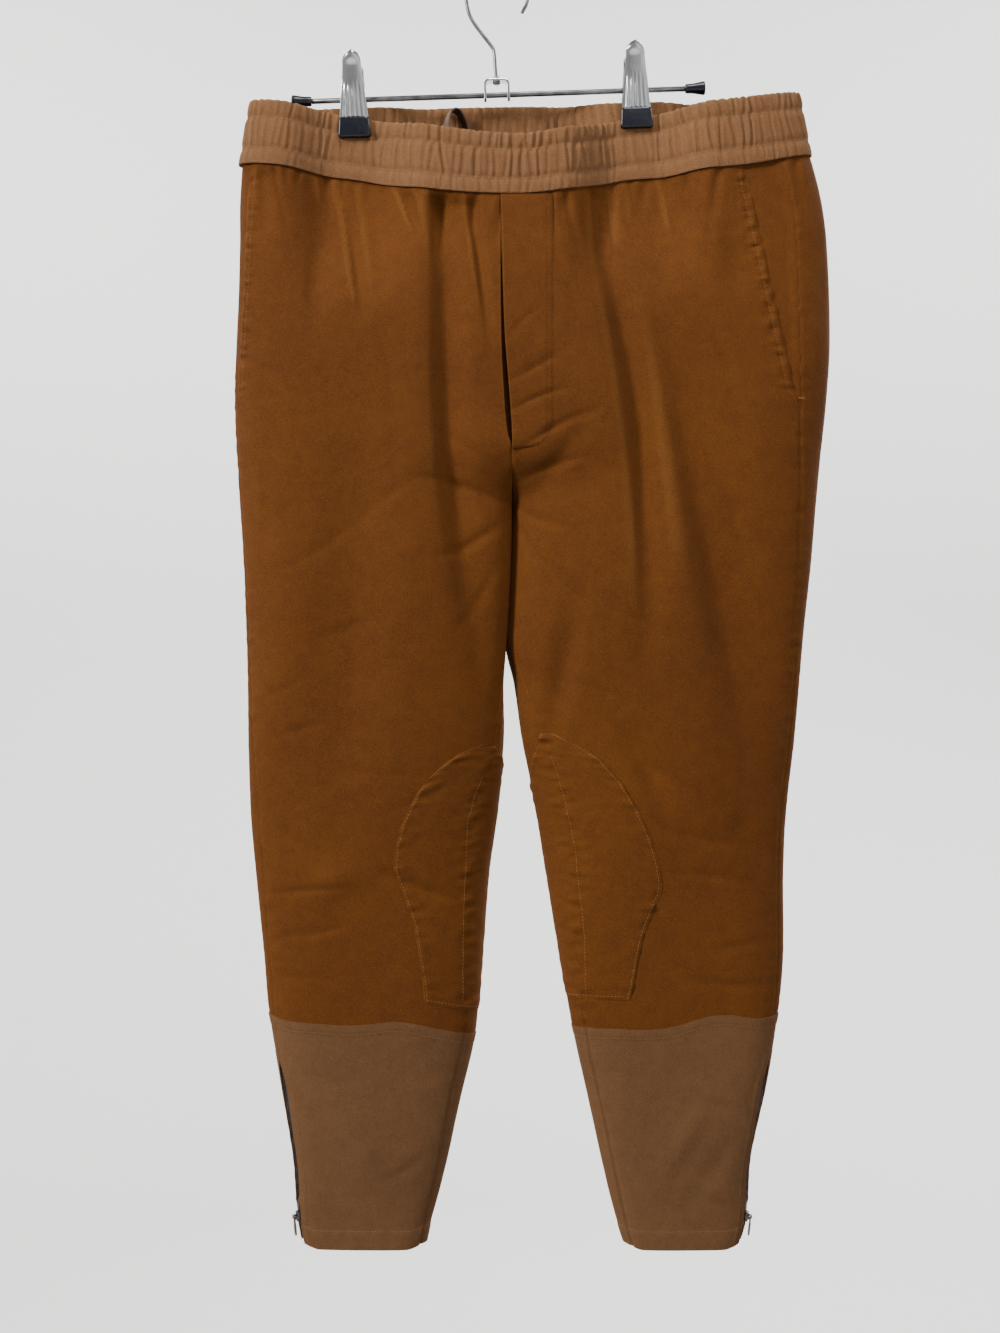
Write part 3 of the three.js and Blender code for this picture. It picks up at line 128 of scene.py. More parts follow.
# Creases, finer than the folds: the marks that wear and folding left.
FRONT_CREASES = [
    (52, 72, 262, 330, 2, 0.6, 3, 3, 1), (10, 44, 330, 300, 2, 0.7, 3, 3, 0.5),
    (14, 60, 366, 338, -2, 1.4, 3, 4, 0.5), (14, 70, 392, 372, 3, 1.6, 3, 3, 0.5),
    (22, 96, 424, 388, 4, 2.0, 3, 4, 0.4), (16, 88, 452, 430, 4, 2.0, 3, 5, 0.4),
    (14, 66, 470, 492, -4, 2.0, 3, 5, 0.4), (16, 80, 486, 560, -5, 2.0, 4, 5, 0.4),
    (-2, -66, 440, 402, -4, 0.9, 4, 4, 0.4), (6, -78, 470, 446, -5, 2.0, 4, 5, 0.4),
    (4, -64, 486, 520, 4, 1.7, 4, 5, 0.4), (0, -48, 520, 590, 5, 0.9, 4, 5, 0.4),
    (-70, -128, 452, 498, -4, 0.8, 5, 5, 0.3), (-120, -190, 486, 530, 4, 0.8, 5, 5, 0.3),
    (-96, -180, 562, 590, 4, 0.8, 5, 6, 0.3), (-205, -150, 640, 616, 2, 0.7, 4, 5, 0.4),
    (-30, -110, 700, 736, 5, 0.8, 4, 5, 0.3), (-60, -150, 700, 690, 3, 0.6, 4, 5, 0.3),
    (-196, -130, 742, 772, -3, 0.9, 4, 5, 0.4), (-202, -120, 846, 826, 3, 0.9, 4, 5, 0.4),
    (-196, -118, 872, 880, 3, 0.7, 4, 4, 0.4), (100, 168, 560, 596, 3, 0.8, 4, 5, 0.3),
    (60, 130, 620, 650, 4, 0.8, 4, 5, 0.3), (118, 196, 690, 742, 6, 1.1, 4, 6, 0.3),
    (128, 226, 742, 760, -4, 0.9, 4, 5, 0.4), (140, 232, 782, 800, 4, 0.9, 4, 5, 0.4),
    (244, 160, 836, 850, 3, 0.8, 4, 5, 0.4), (240, 150, 878, 872, 3, 0.8, 4, 5, 0.4),
    (172, 214, 300, 420, 4, 0.8, 5, 6, 0.4), (196, 226, 450, 560, -4, 0.8, 5, 6, 0.4),
    (-100, -84, 300, 470, 5, 0.8, 6, 8, 0.4), (-196, -204, 420, 560, 4, 0.7, 5, 6, 0.4),
    (-92, -24, 784, 810, -2, 2.2, 3.5, 6, 0.6), (-192, -112, 802, 795, 1, 1.5, 2.2, 4, 0.6),
    (-168, -124, 838, 826, -2, 1.0, 2.2, 3.5, 0.5), (-186, -140, 668, 655, 1, 0.8, 2.5, 4, 0.5),
    (178, 212, 1062, 1086, 2, 1.2, 3, 4, 0.5), (172, 206, 974, 986, -3, 0.8, 4, 5, 0.4),
    (-168, -130, 956, 968, 3, 0.7, 4, 5, 0.4), (-60, -104, 1024, 1050, 3, 0.7, 4, 5, 0.4),
]
BACK_CREASES = [
    (8, 90, 420, 392, 5, 1.6, 4, 5, 0.4), (8, 104, 452, 440, 5, 1.8, 4, 5, 0.4),
    (10, 92, 490, 530, -5, 1.6, 4, 5, 0.4), (2, -82, 424, 396, -5, 1.5, 4, 5, 0.4),
    (2, -96, 456, 452, -5, 1.8, 4, 5, 0.4), (0, -84, 492, 536, 5, 1.6, 4, 5, 0.4),
    (96, 190, 330, 300, 4, 1.1, 5, 6, 0.4), (-90, -176, 340, 316, 4, 1.1, 5, 6, 0.4),
    (150, 238, 560, 600, 4, 1.0, 5, 6, 0.4), (-120, -200, 570, 604, 4, 1.0, 5, 6, 0.4),
    (60, 176, 690, 716, 5, 1.5, 4, 5, 0.4), (244, 130, 732, 756, 4, 1.4, 4, 5, 0.4),
    (78, 196, 800, 822, 4, 1.3, 4, 5, 0.4), (-16, -140, 694, 722, 5, 1.4, 4, 5, 0.4),
    (-204, -90, 740, 762, 4, 1.4, 4, 5, 0.4), (-32, -150, 806, 826, 4, 1.3, 4, 5, 0.4),
    (-196, -96, 862, 850, 3, 1.0, 4, 5, 0.4), (236, 130, 868, 856, 3, 1.0, 4, 5, 0.4),
]
CLIP_X = {"right": -123.8, "left": 119.5}
SIDES = {"right": -1, "left": 1}


def column(table, name, at, key="drop"):
    """A smooth curve through one column of a table."""
    keys = np.array([row[key] for row in table], float)
    values = np.array([row[name] for row in table], float)
    at = np.clip(np.asarray(at, float), keys[0], keys[-1])
    last = len(keys) - 1
    i = np.clip(np.searchsorted(keys, at, side="right") - 1, 0, last - 1)
    span = keys[i + 1] - keys[i]
    here = (values[i + 1] - values[i]) / span
    low, high = np.maximum(i - 1, 0), np.minimum(i + 2, last)
    before = np.where(i > 0, (values[i + 1] - values[low]) / (keys[i + 1] - keys[low]), here)
    after = np.where(i + 1 < last, (values[high] - values[i]) / (keys[high] - keys[i]), here)
    t = (at - keys[i]) / span
    ends = values[i] + (values[i + 1] - values[i]) * t * t * (3 - 2 * t)
    return ends + span * t * (1 - t) * (before * (1 - t) - after * t)


def either(on_front, table, name, at, key="drop"):
    """A curve of a table that has a column for the front and one for the back."""
    return np.where(on_front, column(table, name + "front", at, key), column(table, name + "back", at, key))


def ease(value, low, high):
    t = np.clip((np.asarray(value, float) - low) / (high - low), 0, 1)
    return t * t * (3 - 2 * t)


def mix(a, b, t):
    return a + (b - a) * t


def crest(distance, width):
    """1 on a line, and falling softly to 0 on both sides of it."""
    return np.exp(-((distance / width) ** 2))


def unit(vectors):
    return vectors / np.maximum(np.linalg.norm(vectors, axis=-1, keepdims=True), 1e-9)


def fold_depth(folds, x, drop):
    """How far the folds of one face press the cloth in at each point."""
    total = np.zeros(np.broadcast(x, drop).shape)
    for x0, x1, drop0, drop1, bow, depth, left, right, start in folds:
        dx, dz = x1 - x0, drop1 - drop0
        length = math.hypot(dx, dz)
        along = ((x - x0) * dx + (drop - drop0) * dz) / length**2
        off = ((x - x0) * dz - (drop - drop0) * dx) / length
        off = off - bow * np.sin(np.pi * np.clip(along, 0, 1))
        reach = np.where(off < 0, left, right)
        top = mix(start, 1, ease(along, 0, 0.3)) * ease(along, -0.25, 0)
        tail = 1 - ease(along, 0.45, 1.05)
        total = total + depth * top * tail * crest(off, reach)
    return total


def from_clip(x):
    """How far across the nearer clip is."""
    return np.minimum(*(np.abs(x - clip_x) for clip_x in CLIP_X.values()))


HELD = 2.6


def pinched(y, x, strength):
    """Draws the front and back together where the clips hold them."""
    freedom = 1 - strength * (1 - ease(from_clip(x), 16, 66))
    return np.sign(y) * (np.minimum(np.abs(y), HELD) + np.maximum(np.abs(y) - HELD, 0) * freedom)


def sag(leg, on_front, x, across, drop):
    """How far a level row hangs down: it follows the waist seam, the join and the hem."""
    seam = either(on_front, WAIST_LINE, "seam_", x, "x") - WAIST
    ends = column(JOIN_LINE, leg, 0, "across"), column(JOIN_LINE, leg, 1, "across")
    join = np.where(on_front, column(JOIN_LINE, leg, across, "across"), mix(*ends, across)) - JOIN
    lift = -4 * (1 - ease(np.minimum(across, 1 - across), 0, 0.16))
    near_join = np.where(drop < JOIN, ease(drop, 780, JOIN), 1 - ease(drop, JOIN, 1010))
    return seam * (1 - ease(drop, WAIST, 330)) + join * near_join + lift * ease(drop, 1050, HEM)


RIPPLE_SEED = 7


def drift(x, z, size, seed):
    """Soft uneven swell of the cloth, from -1 to 1, built from a few crossed waves."""
    waves = np.random.default_rng(seed)
    total = np.zeros(np.broadcast(x, z).shape)
    for _ in range(9):
        angle, phase = waves.uniform(0, np.pi), waves.uniform(0, 2 * np.pi)
        pace, bend = waves.uniform(0.6, 1.6), waves.uniform(0.3, 0.9)
        run = (x * math.cos(angle) + z * math.sin(angle)) * pace / size
        turn = (z * math.cos(angle) - x * math.sin(angle)) * pace / size
        swing = bend * np.sin(2 * np.pi * turn * 0.45 + 2 * phase)
        total = total + np.sin(2 * np.pi * run + phase + swing)
    return total / 5


def trunk_oval(turn):
    """How far across and how deep, from 0 to 1, the trunk's flattened oval runs at a turn."""
    across = np.sin(np.pi / 2 * turn)
    rest = 1 - across**2
    flat = np.where(rest < 1e-9, 2.5, (1 - across**5) / np.maximum(rest, 1e-9))
    return across, np.cos(np.pi / 2 * turn) * np.sqrt(flat)


def cloth(leg, turn, drop):
    """Points of the cloth's outer face. turn runs round the leg: 0 at its inner edge or the centre
    front, 1 at its outer edge, and 2 back at the inner edge or at the centre back."""
    turn, drop = np.broadcast_arrays(np.asarray(turn, float), np.asarray(drop, float))
    w = np.where(turn > 2, turn - 2, np.where(turn < 0, turn + 2, turn))
    on_front = w <= 1
    start = np.where(on_front, FLY_FOOT, SEAT)
    rise = np.cos(np.pi / 2 * np.clip((drop - start) / (CROTCH - start), 0, 1))
    hip = 1 - ease((drop - start + 90) / (CROTCH + 200 - start), 0, 1)
    trunk = mix(rise, hip, ease(np.minimum(w, 2 - w), 0.08, 0.45))
    cos = np.cos(np.pi * w)
    square = mix(2.4, 5, ease(drop, 700, 1050))
    edge = 1 - cos * cos
    bulge = np.where(edge < 1e-9, square / 2, (1 - np.abs(cos) ** square) / np.maximum(edge, 1e-9))
    leg_depth = np.sin(np.pi * w) * np.sqrt(bulge)
    trunk_across, trunk_depth = trunk_oval(w)
    across = mix((1 - cos) / 2, trunk_across, trunk)
    depth = mix(leg_depth, trunk_depth, trunk)
    own = column(SECTIONS, f"in_{leg}", drop)
    centre = (column(SECTIONS, "in_right", drop) + column(SECTIONS, "in_left", drop)) / 2
    inner = np.where(on_front, own, mix(own, centre, trunk))
    x = mix(inner, column(SECTIONS, f"out_{leg}", drop), across)
    reach = either(on_front, SECTIONS, "", drop)
    lifted = np.minimum(1, np.abs(depth) / 0.45) ** 2
    low = drop + sag(leg, on_front, x, across, drop)
    folds = np.where(on_front, fold_depth(FRONT_FOLDS, x, low), -fold_depth(BACK_FOLDS, x, low))
    fine = np.where(on_front, fold_depth(FRONT_CREASES, x, low), -fold_depth(BACK_CREASES, x, low))
    swell = drift(x, low + 500 * ~on_front, 150, RIPPLE_SEED) * 0.9
    swell = swell + drift(x, low, 46, RIPPLE_SEED + 1) * 0.22
    sewn_flat = mix(0.1, 1, ease(drop, WAIST, WAIST + 12))
    press = (folds + fine + swell * np.where(on_front, 1, -1)) * lifted * sewn_flat
    # Under the crotch the right leg's inner edge stands forward and the left leg's back.
    passing = ease(drop, 432, 480) * (1 - ease(drop, 604, 650)) * (1 - ease(across, 0, 0.12))
    y = 4 * SIDES[leg] * passing + pinched(-reach * depth + press, x, 1 - ease(drop, WAIST, 310))
    return np.stack([x, y, -low], -1)


def side_turn(leg, drops, aside=0.0):
    """The turn of the side seam in each row, or of a line beside it."""
    return walked(leg, 1, drops, aside - column(SEAM_LINES, f"side_{leg}", drops))


def inseam_turn(leg, drops):
    round_inseam = walked(leg, 0, drops, column(SEAM_LINES, f"inseam_{leg}", drops))
    return np.where(drops <= CROTCH, 0, round_inseam)


def run_of(points):
    """Length of cloth along each row of points."""
    steps = np.linalg.norm(np.diff(points, axis=1), axis=2)
    return np.concatenate([np.zeros((len(points), 1)), np.cumsum(steps, axis=1)], axis=1)


def walked(leg, start, drops, lengths):
    """The turns reached by going round the cloth from a start, by one length or more in each row."""
    turns = start + np.linspace(-0.5, 0.5, 401)
    run = run_of(cloth(leg, turns[None], drops[:, None]))
    run -= run[:, 200:201]
    return np.array([np.interp(length, row, turns) for length, row in zip(lengths, run)])


def closer(cells, share):
    """Steps from 0 to 1 that draw together at both ends."""
    even = np.linspace(0, 1, cells + 1)
    return even - share * np.sin(2 * np.pi * even) / (2 * np.pi)


def strip(leg, drops, start, end, cells, share=0.0):
    """Turns at steps of cloth between two lines, in each row, and how wide each row is."""
    turns = mix(start[:, None], end[:, None], np.linspace(0, 1, 241))
    run = run_of(cloth(leg, turns, drops[:, None]))
    goals = closer(cells, share) * run[:, -1:]
    placed = [np.interp(goal, row, turn) for goal, row, turn in zip(goals, run, turns)]
    return np.array(placed), run[:, -1]


def outward(points, sign):
    """Unit normals of a grid of points, on the cloth's outer side."""
    return unit(-sign * np.cross(np.gradient(points, axis=1), np.gradient(points, axis=0)))


def shell(outer, inner):
    """Points and faces of a closed wall between two grids, which may differ in their counts."""
    points = np.concatenate([outer.reshape(-1, 3), inner.reshape(-1, 3)])
    faces, borders = [], []
    first = 0
    for grid, turned in ((outer, False), (inner, True)):
        rows, columns = grid.shape[:2]
        number = np.arange(first, first + rows * columns).reshape(rows, columns)
        first += rows * columns
        corners = [number[:-1, :-1], number[:-1, 1:], number[1:, 1:], number[1:, :-1]]
        quads = np.stack(corners, -1).reshape(-1, 4)
        faces += (quads[:, ::-1] if turned else quads).tolist()
        borders.append([number[0], number[:, -1], number[-1, ::-1], number[::-1, 0]])
    for far, near in zip(*borders):
        i = j = 0
        last_far, last_near = len(far) - 1, len(near) - 1
        while i < last_far or j < last_near:
            if j == last_near or (i < last_far and (i + 1) * last_near <= (j + 1) * last_far):
                faces.append([int(far[i]), int(near[j]), int(far[i + 1])])
                i += 1
            else:
                faces.append([int(far[i]), int(near[j]), int(near[j + 1])])
                j += 1
    return points, faces


def piece(name, points, faces, finish, body="root", replaces=(), slot=None, crisp=50, **marks):
    """A piece of the object: a mesh in metres from millimetres, its finish, and the body it rides on."""
    mesh = bpy.data.meshes.new(name)
    mesh.from_pydata((np.asarray(points) / 1000).tolist(), [], faces)
    for mark, values in marks.items():
        marked = mesh.attributes.new(mark, "FLOAT", "POINT")
        marked.data.foreach_set("value", np.asarray(values, np.float32).ravel())
    made = bpy.data.objects.new(name, mesh)
    bpy.context.scene.collection.objects.link(made)
    shape = bmesh.new()
    shape.from_mesh(mesh)
    bmesh.ops.recalc_face_normals(shape, faces=shape.faces)
    shape.to_mesh(mesh)
    shape.free()
    mesh.shade_smooth()
    mesh.set_sharp_from_angle(angle=math.radians(crisp))
    mesh.materials.append(finish.material)
    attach(made, body)
    if replaces:
        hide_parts(*replaces)
    return made


def cloth_piece(name, outer, normals, wall, finish, wear, sparse=2, **settings):
    """A sheet of cloth from its outer face. The inner face follows it with fewer points."""
    inner = (outer - normals * wall)[::sparse, ::sparse]
    marks = np.concatenate([wear.ravel(), wear[::sparse, ::sparse].ravel()])
    return piece(name, *shell(outer, inner), finish, replaces=[name], wear=marks, **settings)


class Value:
    """A number, colour or vector in a finish's nodes, with ordinary arithmetic for numbers."""

    def __init__(self, finish, socket):
        self.finish, self.socket = finish, socket

    def math(self, operation, *others):
        values = dict(enumerate((self, *others)))
        return self.finish.node("ShaderNodeMath", {"operation": operation}, values)

    def __add__(self, other):
        return self.math("ADD", other)

    def __mul__(self, other):
        return self.math("MULTIPLY", other)

    def __sub__(self, other):
        return self.math("SUBTRACT", other)

    def __rsub__(self, other):
        return self.math("MULTIPLY", -1) + other

    __radd__, __rmul__ = __add__, __mul__

    def sine(self):
        return self.math("SINE")

    def between(self, low, high):
        """0 below low, 1 above high, and smooth between them."""
        limits = {"Value": self, "From Min": low, "From Max": high}
        return self.finish.node("ShaderNodeMapRange", {"interpolation_type": "SMOOTHSTEP"}, limits)


class Finish:
    """One material. Its surface is a single Principled shader."""

    def __init__(self, name, **constants):
        self.material = bpy.data.materials.new(name)
        self.material.use_nodes = True
        self.tree = self.material.node_tree
        self.shader = next(n for n in self.tree.nodes if n.type == "BSDF_PRINCIPLED")
        self.set(**constants)

    def node(self, kind, settings=None, inputs=None, output=0):
        """Adds a node, makes its settings, fills or links its sockets, and gives one of its outputs."""
        made = self.tree.nodes.new(kind)
        for key, value in (settings or {}).items():
            setattr(made, key, value)
        for key, value in (inputs or {}).items():
            self.fill(made.inputs[key], value)
        return Value(self, made.outputs[output])

    def fill(self, socket, value):
        if isinstance(value, Value):
            self.tree.links.new(value.socket, socket)
        elif socket.type == "RGBA":
            socket.default_value = (*value, 1)
        else:
            socket.default_value = value

    def set(self, **sockets):
        for name, value in sockets.items():
            self.fill(self.shader.inputs[name.replace("_", " ")], value)

    def place(self):
        """The x, y and z of each point of the object, in metres."""
        where = self.node("ShaderNodeTexCoord", output="Object")
        apart = self.node("ShaderNodeSeparateXYZ", {}, {0: where})
        return [Value(self, output) for output in apart.socket.node.outputs]

    def noise(self, size_mm, detail=2, rough=0.5, stretch=(1, 1, 1)):
        """Uneven grey from 0 to 1, with patches of about one size."""
        place = self.node("ShaderNodeTexCoord", output="Object")
        if stretch != (1, 1, 1):
            place = self.node("ShaderNodeVectorMath", {"operation": "MULTIPLY"}, {0: place, 1: stretch})
        inputs = {"Vector": place, "Scale": 1000 / size_mm, "Detail": detail, "Roughness": rough}
        return self.node("ShaderNodeTexNoise", {}, inputs)

    def mixed(self, a, b, share):
        """One colour laid over another by a share."""
        return self.node("ShaderNodeMix", {"data_type": "RGBA"}, {0: share, 6: a, 7: b}, output=2)

    def bumped(self, height, depth_mm, strength):
        inputs = {"Height": height, "Distance": depth_mm / 1000, "Strength": strength}
        self.set(Normal=self.node("ShaderNodeBump", {}, inputs))


WALE_MM = 0.95


def twill(name, colour, deep, fade_and_light):
    """Cotton twill: fine diagonal wales, speckled yarn, paler where it rubs and deeper between, and with
    painted highlight and shade where a piece's mark carries them.
    """
    finish = Finish(name, Sheen_Weight=0.1, Sheen_Roughness=0.4, Sheen_Tint=fade_and_light, Specular_IOR_Level=0.16)
    x, y, z = finish.place()
    pace = 2000 * math.pi / WALE_MM
    uneven = finish.noise(6, 2)
    wales = ((x + y + z) * pace + uneven * 2).sine()
    picks = ((x + y - z) * pace).sine()
    yarn = finish.noise(0.7, 2, 0.6)
    speckle = finish.noise(1.6, 3, 0.65, (1, 1, 2.2))
    mottle = finish.noise(11, 4, 0.6)
    broad = finish.noise(150, 2)
    # The mark draws the cloth towards its pale colour: wear at seams and edges, plus a painted highlight on
    # the thigh folds' ridges and painted shade in the band's gather troughs.
    fade_and_light_node = finish.node("ShaderNodeAttribute", {"attribute_name": "wear"}, output="Fac")
    shade = mottle * 0.28 + broad * 0.3 + speckle * 0.78 + yarn * 0.56 - 0.46
    base = finish.mixed(deep, colour, shade.between(0.2, 0.8))
    fade_and_light_share = (fade_and_light_node * (0.55 + speckle * 0.9)).between(0.15, 1.0)
    finish.set(Base_Color=finish.mixed(base, fade_and_light, fade_and_light_share * 0.75))
    finish.set(Roughness=0.8 + yarn * 0.16)
    finish.bumped(wales * 0.4 + picks * 0.15 + yarn * 0.8 + speckle * 0.9, 0.3, 0.7)
    return finish


RUST = twill("rust_twill", (0.143, 0.046, 0.0053), (0.074, 0.0205, 0.002), (0.21, 0.082, 0.016))

PANEL_ROWS = np.linspace(WAIST, JOIN, 361)
MOUTHS = {"right": ((-213, 176), (-223.5, 385)), "left": ((210, 180), (253.5, 381))}


def mouth_turn(leg, drops, side):
    """The turn of the pocket mouth in each row: on the mouth's straight line, above its foot only."""
    (x0, top), (x1, foot) = MOUTHS[leg]
    turns = np.linspace(0.3, 1.0, 400)
    x, _, z = np.moveaxis(cloth(leg, turns[None], drops[:, None]), -1, 0)
    beyond = (x - (x0 + (x1 - x0) * (-z - top) / (foot - top))) * SIDES[leg]
    line = np.array([np.interp(0, row, turns) for row in beyond])
    near_foot = ease(drops, foot - 10, foot)
    return np.where(drops < foot, mix(np.minimum(line, side), side, near_foot), side)


def seam_relief(distance, drops, seed, groove=0.95, swell=0.6):
    """Beside a sewn seam: a groove on the line, and small puckers that die away from it."""
    waves = drift(drops[:, None] * np.ones_like(distance), distance * 0.4, 13, seed)
    return -groove * crest(distance, 1.3) + swell * waves * np.exp(-distance / 7)


def stitch_relief(distance, at, drops, seed):
    """Along a line of topstitching: the thread sinks in and the cloth puckers on both sides."""
    off = distance - at
    waves = drift(drops[:, None] * np.ones_like(distance), off * 0.35, 8, seed)
    return -0.45 * crest(off, 1) + 1.2 * waves * crest(off, 6)


def tucks(x, below, seed, count):
    """Small pleats that start in the gathered waist seam, each with its own place, depth and length."""
    chance = np.random.default_rng(seed)
    total = np.zeros(np.broadcast(x, below).shape)
    for place in np.linspace(-212, 262, count):
        at, lean = place + chance.uniform(-7, 7), chance.uniform(-0.2, 0.2)
        deep, wide = chance.uniform(0.5, 2.4), chance.uniform(2.4, 4.2)
        long = chance.uniform(9, 50)
        off = np.abs(x - at - lean * below) / wide
        lasts = np.exp(-((below / long) ** 1.5))
        total = total + deep * lasts * (0.35 * crest(off - 1.9, 1) - crest(off, 1))
    return total


DRAWN_IN, MOUTH_STITCH = 0.4, 6
MARKS = {"front": FRONT_FOLDS + FRONT_CREASES, "back": BACK_FOLDS + BACK_CREASES}
for leg, sign in SIDES.items():
    side, inseam = side_turn(leg, PANEL_ROWS), inseam_turn(leg, PANEL_ROWS)
    mouth = mouth_turn(leg, PANEL_ROWS, side)
    for face, (start, end, cells) in {
        "front": (inseam, mouth, 116),
        "back": (side, 2 + inseam, 84),
    }.items():
        turns, widths = strip(leg, PANEL_ROWS, start, end, cells, DRAWN_IN)
        points = cloth(leg, turns, PANEL_ROWS[:, None])
        normals = outward(points, sign)
        from_start = closer(cells, DRAWN_IN) * widths[:, None]
        from_end = widths[:, None] - from_start
        below_fly = ease(PANEL_ROWS, FLY_FOOT, FLY_FOOT + 15)[:, None]
        from_inseam, from_side = (from_start, from_end) if face == "front" else (from_end, from_start)
        together = ease(PANEL_ROWS, CROTCH - 20, CROTCH) * (1 - ease(PANEL_ROWS, 610, 650))
        relief = seam_relief(from_inseam, PANEL_ROWS, 11) * (below_fly if face == "front" else 1)
        relief = relief * (1 - together)[:, None]
        relief = relief + seam_relief(from_side, PANEL_ROWS, 17)
        below_waist = (PANEL_ROWS - WAIST)[:, None]
        gathered = tucks(points[..., 0], below_waist, 61 if face == "front" else 67, 34)
        relief = relief + gathered * mix(0.25, 1, ease(below_waist, 0, 7))
        relief = relief - 0.6 * np.exp(-below_waist / 1.8)
        fade_and_light = 0.45 * np.exp(-from_side / 2.5) + 0.4 * np.exp(-from_inseam / 2.5)
        if face == "front":
            on_mouth = (PANEL_ROWS < MOUTHS[leg][1][1])[:, None]
            relief = relief + on_mouth * stitch_relief(from_side, MOUTH_STITCH, PANEL_ROWS, 23)
            fade_and_light = fade_and_light + on_mouth * 0.35 * crest(from_side - MOUTH_STITCH, 2.5)
        # Paler on the ridges and shoulders of the folds and creases: partly wear, partly a painted
        # highlight where the light catches them.
        marked = fold_depth(MARKS[face], points[..., 0], -points[..., 2])
        bend = np.gradient(np.gradient(marked, axis=1), axis=1) / (np.mean(widths) / cells) ** 2
        fade_and_light = fade_and_light + np.clip(bend * 4, 0, 0.5)
        points = points + normals * relief[..., None]
        name = f"{face}_{leg}"
        made = cloth_piece(name, points, normals, WALL, RUST, fade_and_light, slot="rust_twill")


# ---------------------------------------------------------------------------
# Pocket facings. Under each slanted pocket mouth lies a strip of the same twill,
# sewn into the side seam. The mouth is topstitched and barred at its foot.
# ---------------------------------------------------------------------------
FACING_LAP = 14


def spot(leg, turn, drop):
    """Points of the cloth and their outward normals."""
    turn, drop = np.broadcast_arrays(np.asarray(turn, float), np.asarray(drop, float))
    trunk = drop < CROTCH
    low = np.where(trunk, np.maximum(turn - 0.004, 0), turn - 0.004)
    high = np.where(trunk, np.minimum(turn + 0.004, 2), turn + 0.004)
    round_leg = cloth(leg, high, drop) - cloth(leg, low, drop)
    down = cloth(leg, turn, drop + 0.8) - cloth(leg, turn, drop - 0.8)
    return cloth(leg, turn, drop), unit(-SIDES[leg] * np.cross(round_leg, down))


def ringed(rings):
    """Points and faces of a solid whose surface runs through rings of points, capped at both ends."""
    rings = np.asarray(rings)
    count, sides = rings.shape[:2]
    faces = []
    for a in range(0, (count - 1) * sides, sides):
        b = a + sides
        faces += [[a + i, a + (i + 1) % sides, b + (i + 1) % sides, b + i] for i in range(sides)]
    faces += [list(range(sides))[::-1], [(count - 1) * sides + i for i in range(sides)]]
    return rings.reshape(-1, 3), faces


def length_of(path):
    """The length of a line of points up to each of them."""
    steps = np.linalg.norm(np.diff(path, axis=0), axis=1)
    return np.concatenate([[0], np.cumsum(steps)])


BEAD = ((-0.5, 0.35, -0.55), (-0.36, 0.85, -0.1), (0, 1.0, 0.1), (0.36, 0.85, -0.1), (0.5, 0.35, -0.55))
THREAD_SUNK = 0.1


def stitched(name, lines, finish, pitch=3.1, length=2.35, thick=0.62):
    """Rows of lockstitch: short beads of thread along lines of points and normals."""
    turns = np.linspace(0, 2 * np.pi, 6)[:-1]
    rings = [[(s, r * np.cos(a), h + r * np.sin(a) * 0.7) for a in turns] for s, r, h in BEAD]
    template, bead_faces = ringed(rings)
    chance = np.random.default_rng(len(name))
    points, faces, half = [], [], thick / 2
    for path, normals in lines:
        run = length_of(path)
        middles = np.arange(pitch / 2, run[-1], pitch)
        middles = middles + chance.normal(0, 0.05, len(middles))

        def at(values, s):
            return np.stack([np.interp(s, run, values[:, k]) for k in range(3)], -1)

        centre, along = at(path, middles), unit(at(path, middles + 0.4) - at(path, middles - 0.4))
        up = at(normals, middles)
        up = unit(up - along * np.sum(up * along, axis=1, keepdims=True))
        over = np.cross(along, up) + up * chance.normal(0, 0.03, (len(middles), 1))
        long = length * chance.normal(1, 0.04, (len(middles), 1, 1))
        placed = (centre + up * (THREAD_SUNK - half * 0.2))[:, None]
        placed = placed + along[:, None] * template[None, :, :1] * long
        placed = placed + over[:, None] * template[None, :, 1:2] * half
        placed = placed + up[:, None] * template[None, :, 2:3] * half
        for bead in placed:
            base = len(points) * len(template)
            faces += [[base + v for v in face] for face in bead_faces]
            points.append(bead)
    return piece(name, np.concatenate(points), faces, finish, crisp=80)


def thread(name, colour, shadow):
    """Spun polyester thread: two plies twisted together, with a soft gloss."""
    finish = Finish(name, Roughness=0.6, Sheen_Weight=0.05, Specular_IOR_Level=0.25)
    ply = finish.noise(0.5, 2)
    finish.set(Base_Color=finish.mixed(shadow, colour, ply.between(0.3, 0.7)))
    finish.bumped(ply, 0.08, 0.5)
    return finish


OCHRE_THREAD = thread("ochre_thread", (0.25, 0.108, 0.025), (0.16, 0.062, 0.012))
RUST_THREAD = thread("rust_thread", (0.17, 0.062, 0.011), (0.11, 0.036, 0.006))


def cloth_a_turn(leg, turn, drop):
    """How much cloth there is to a whole turn at a place."""
    return np.linalg.norm(cloth(leg, turn, drop) - cloth(leg, turn - 0.01, drop), axis=1) / 0.01



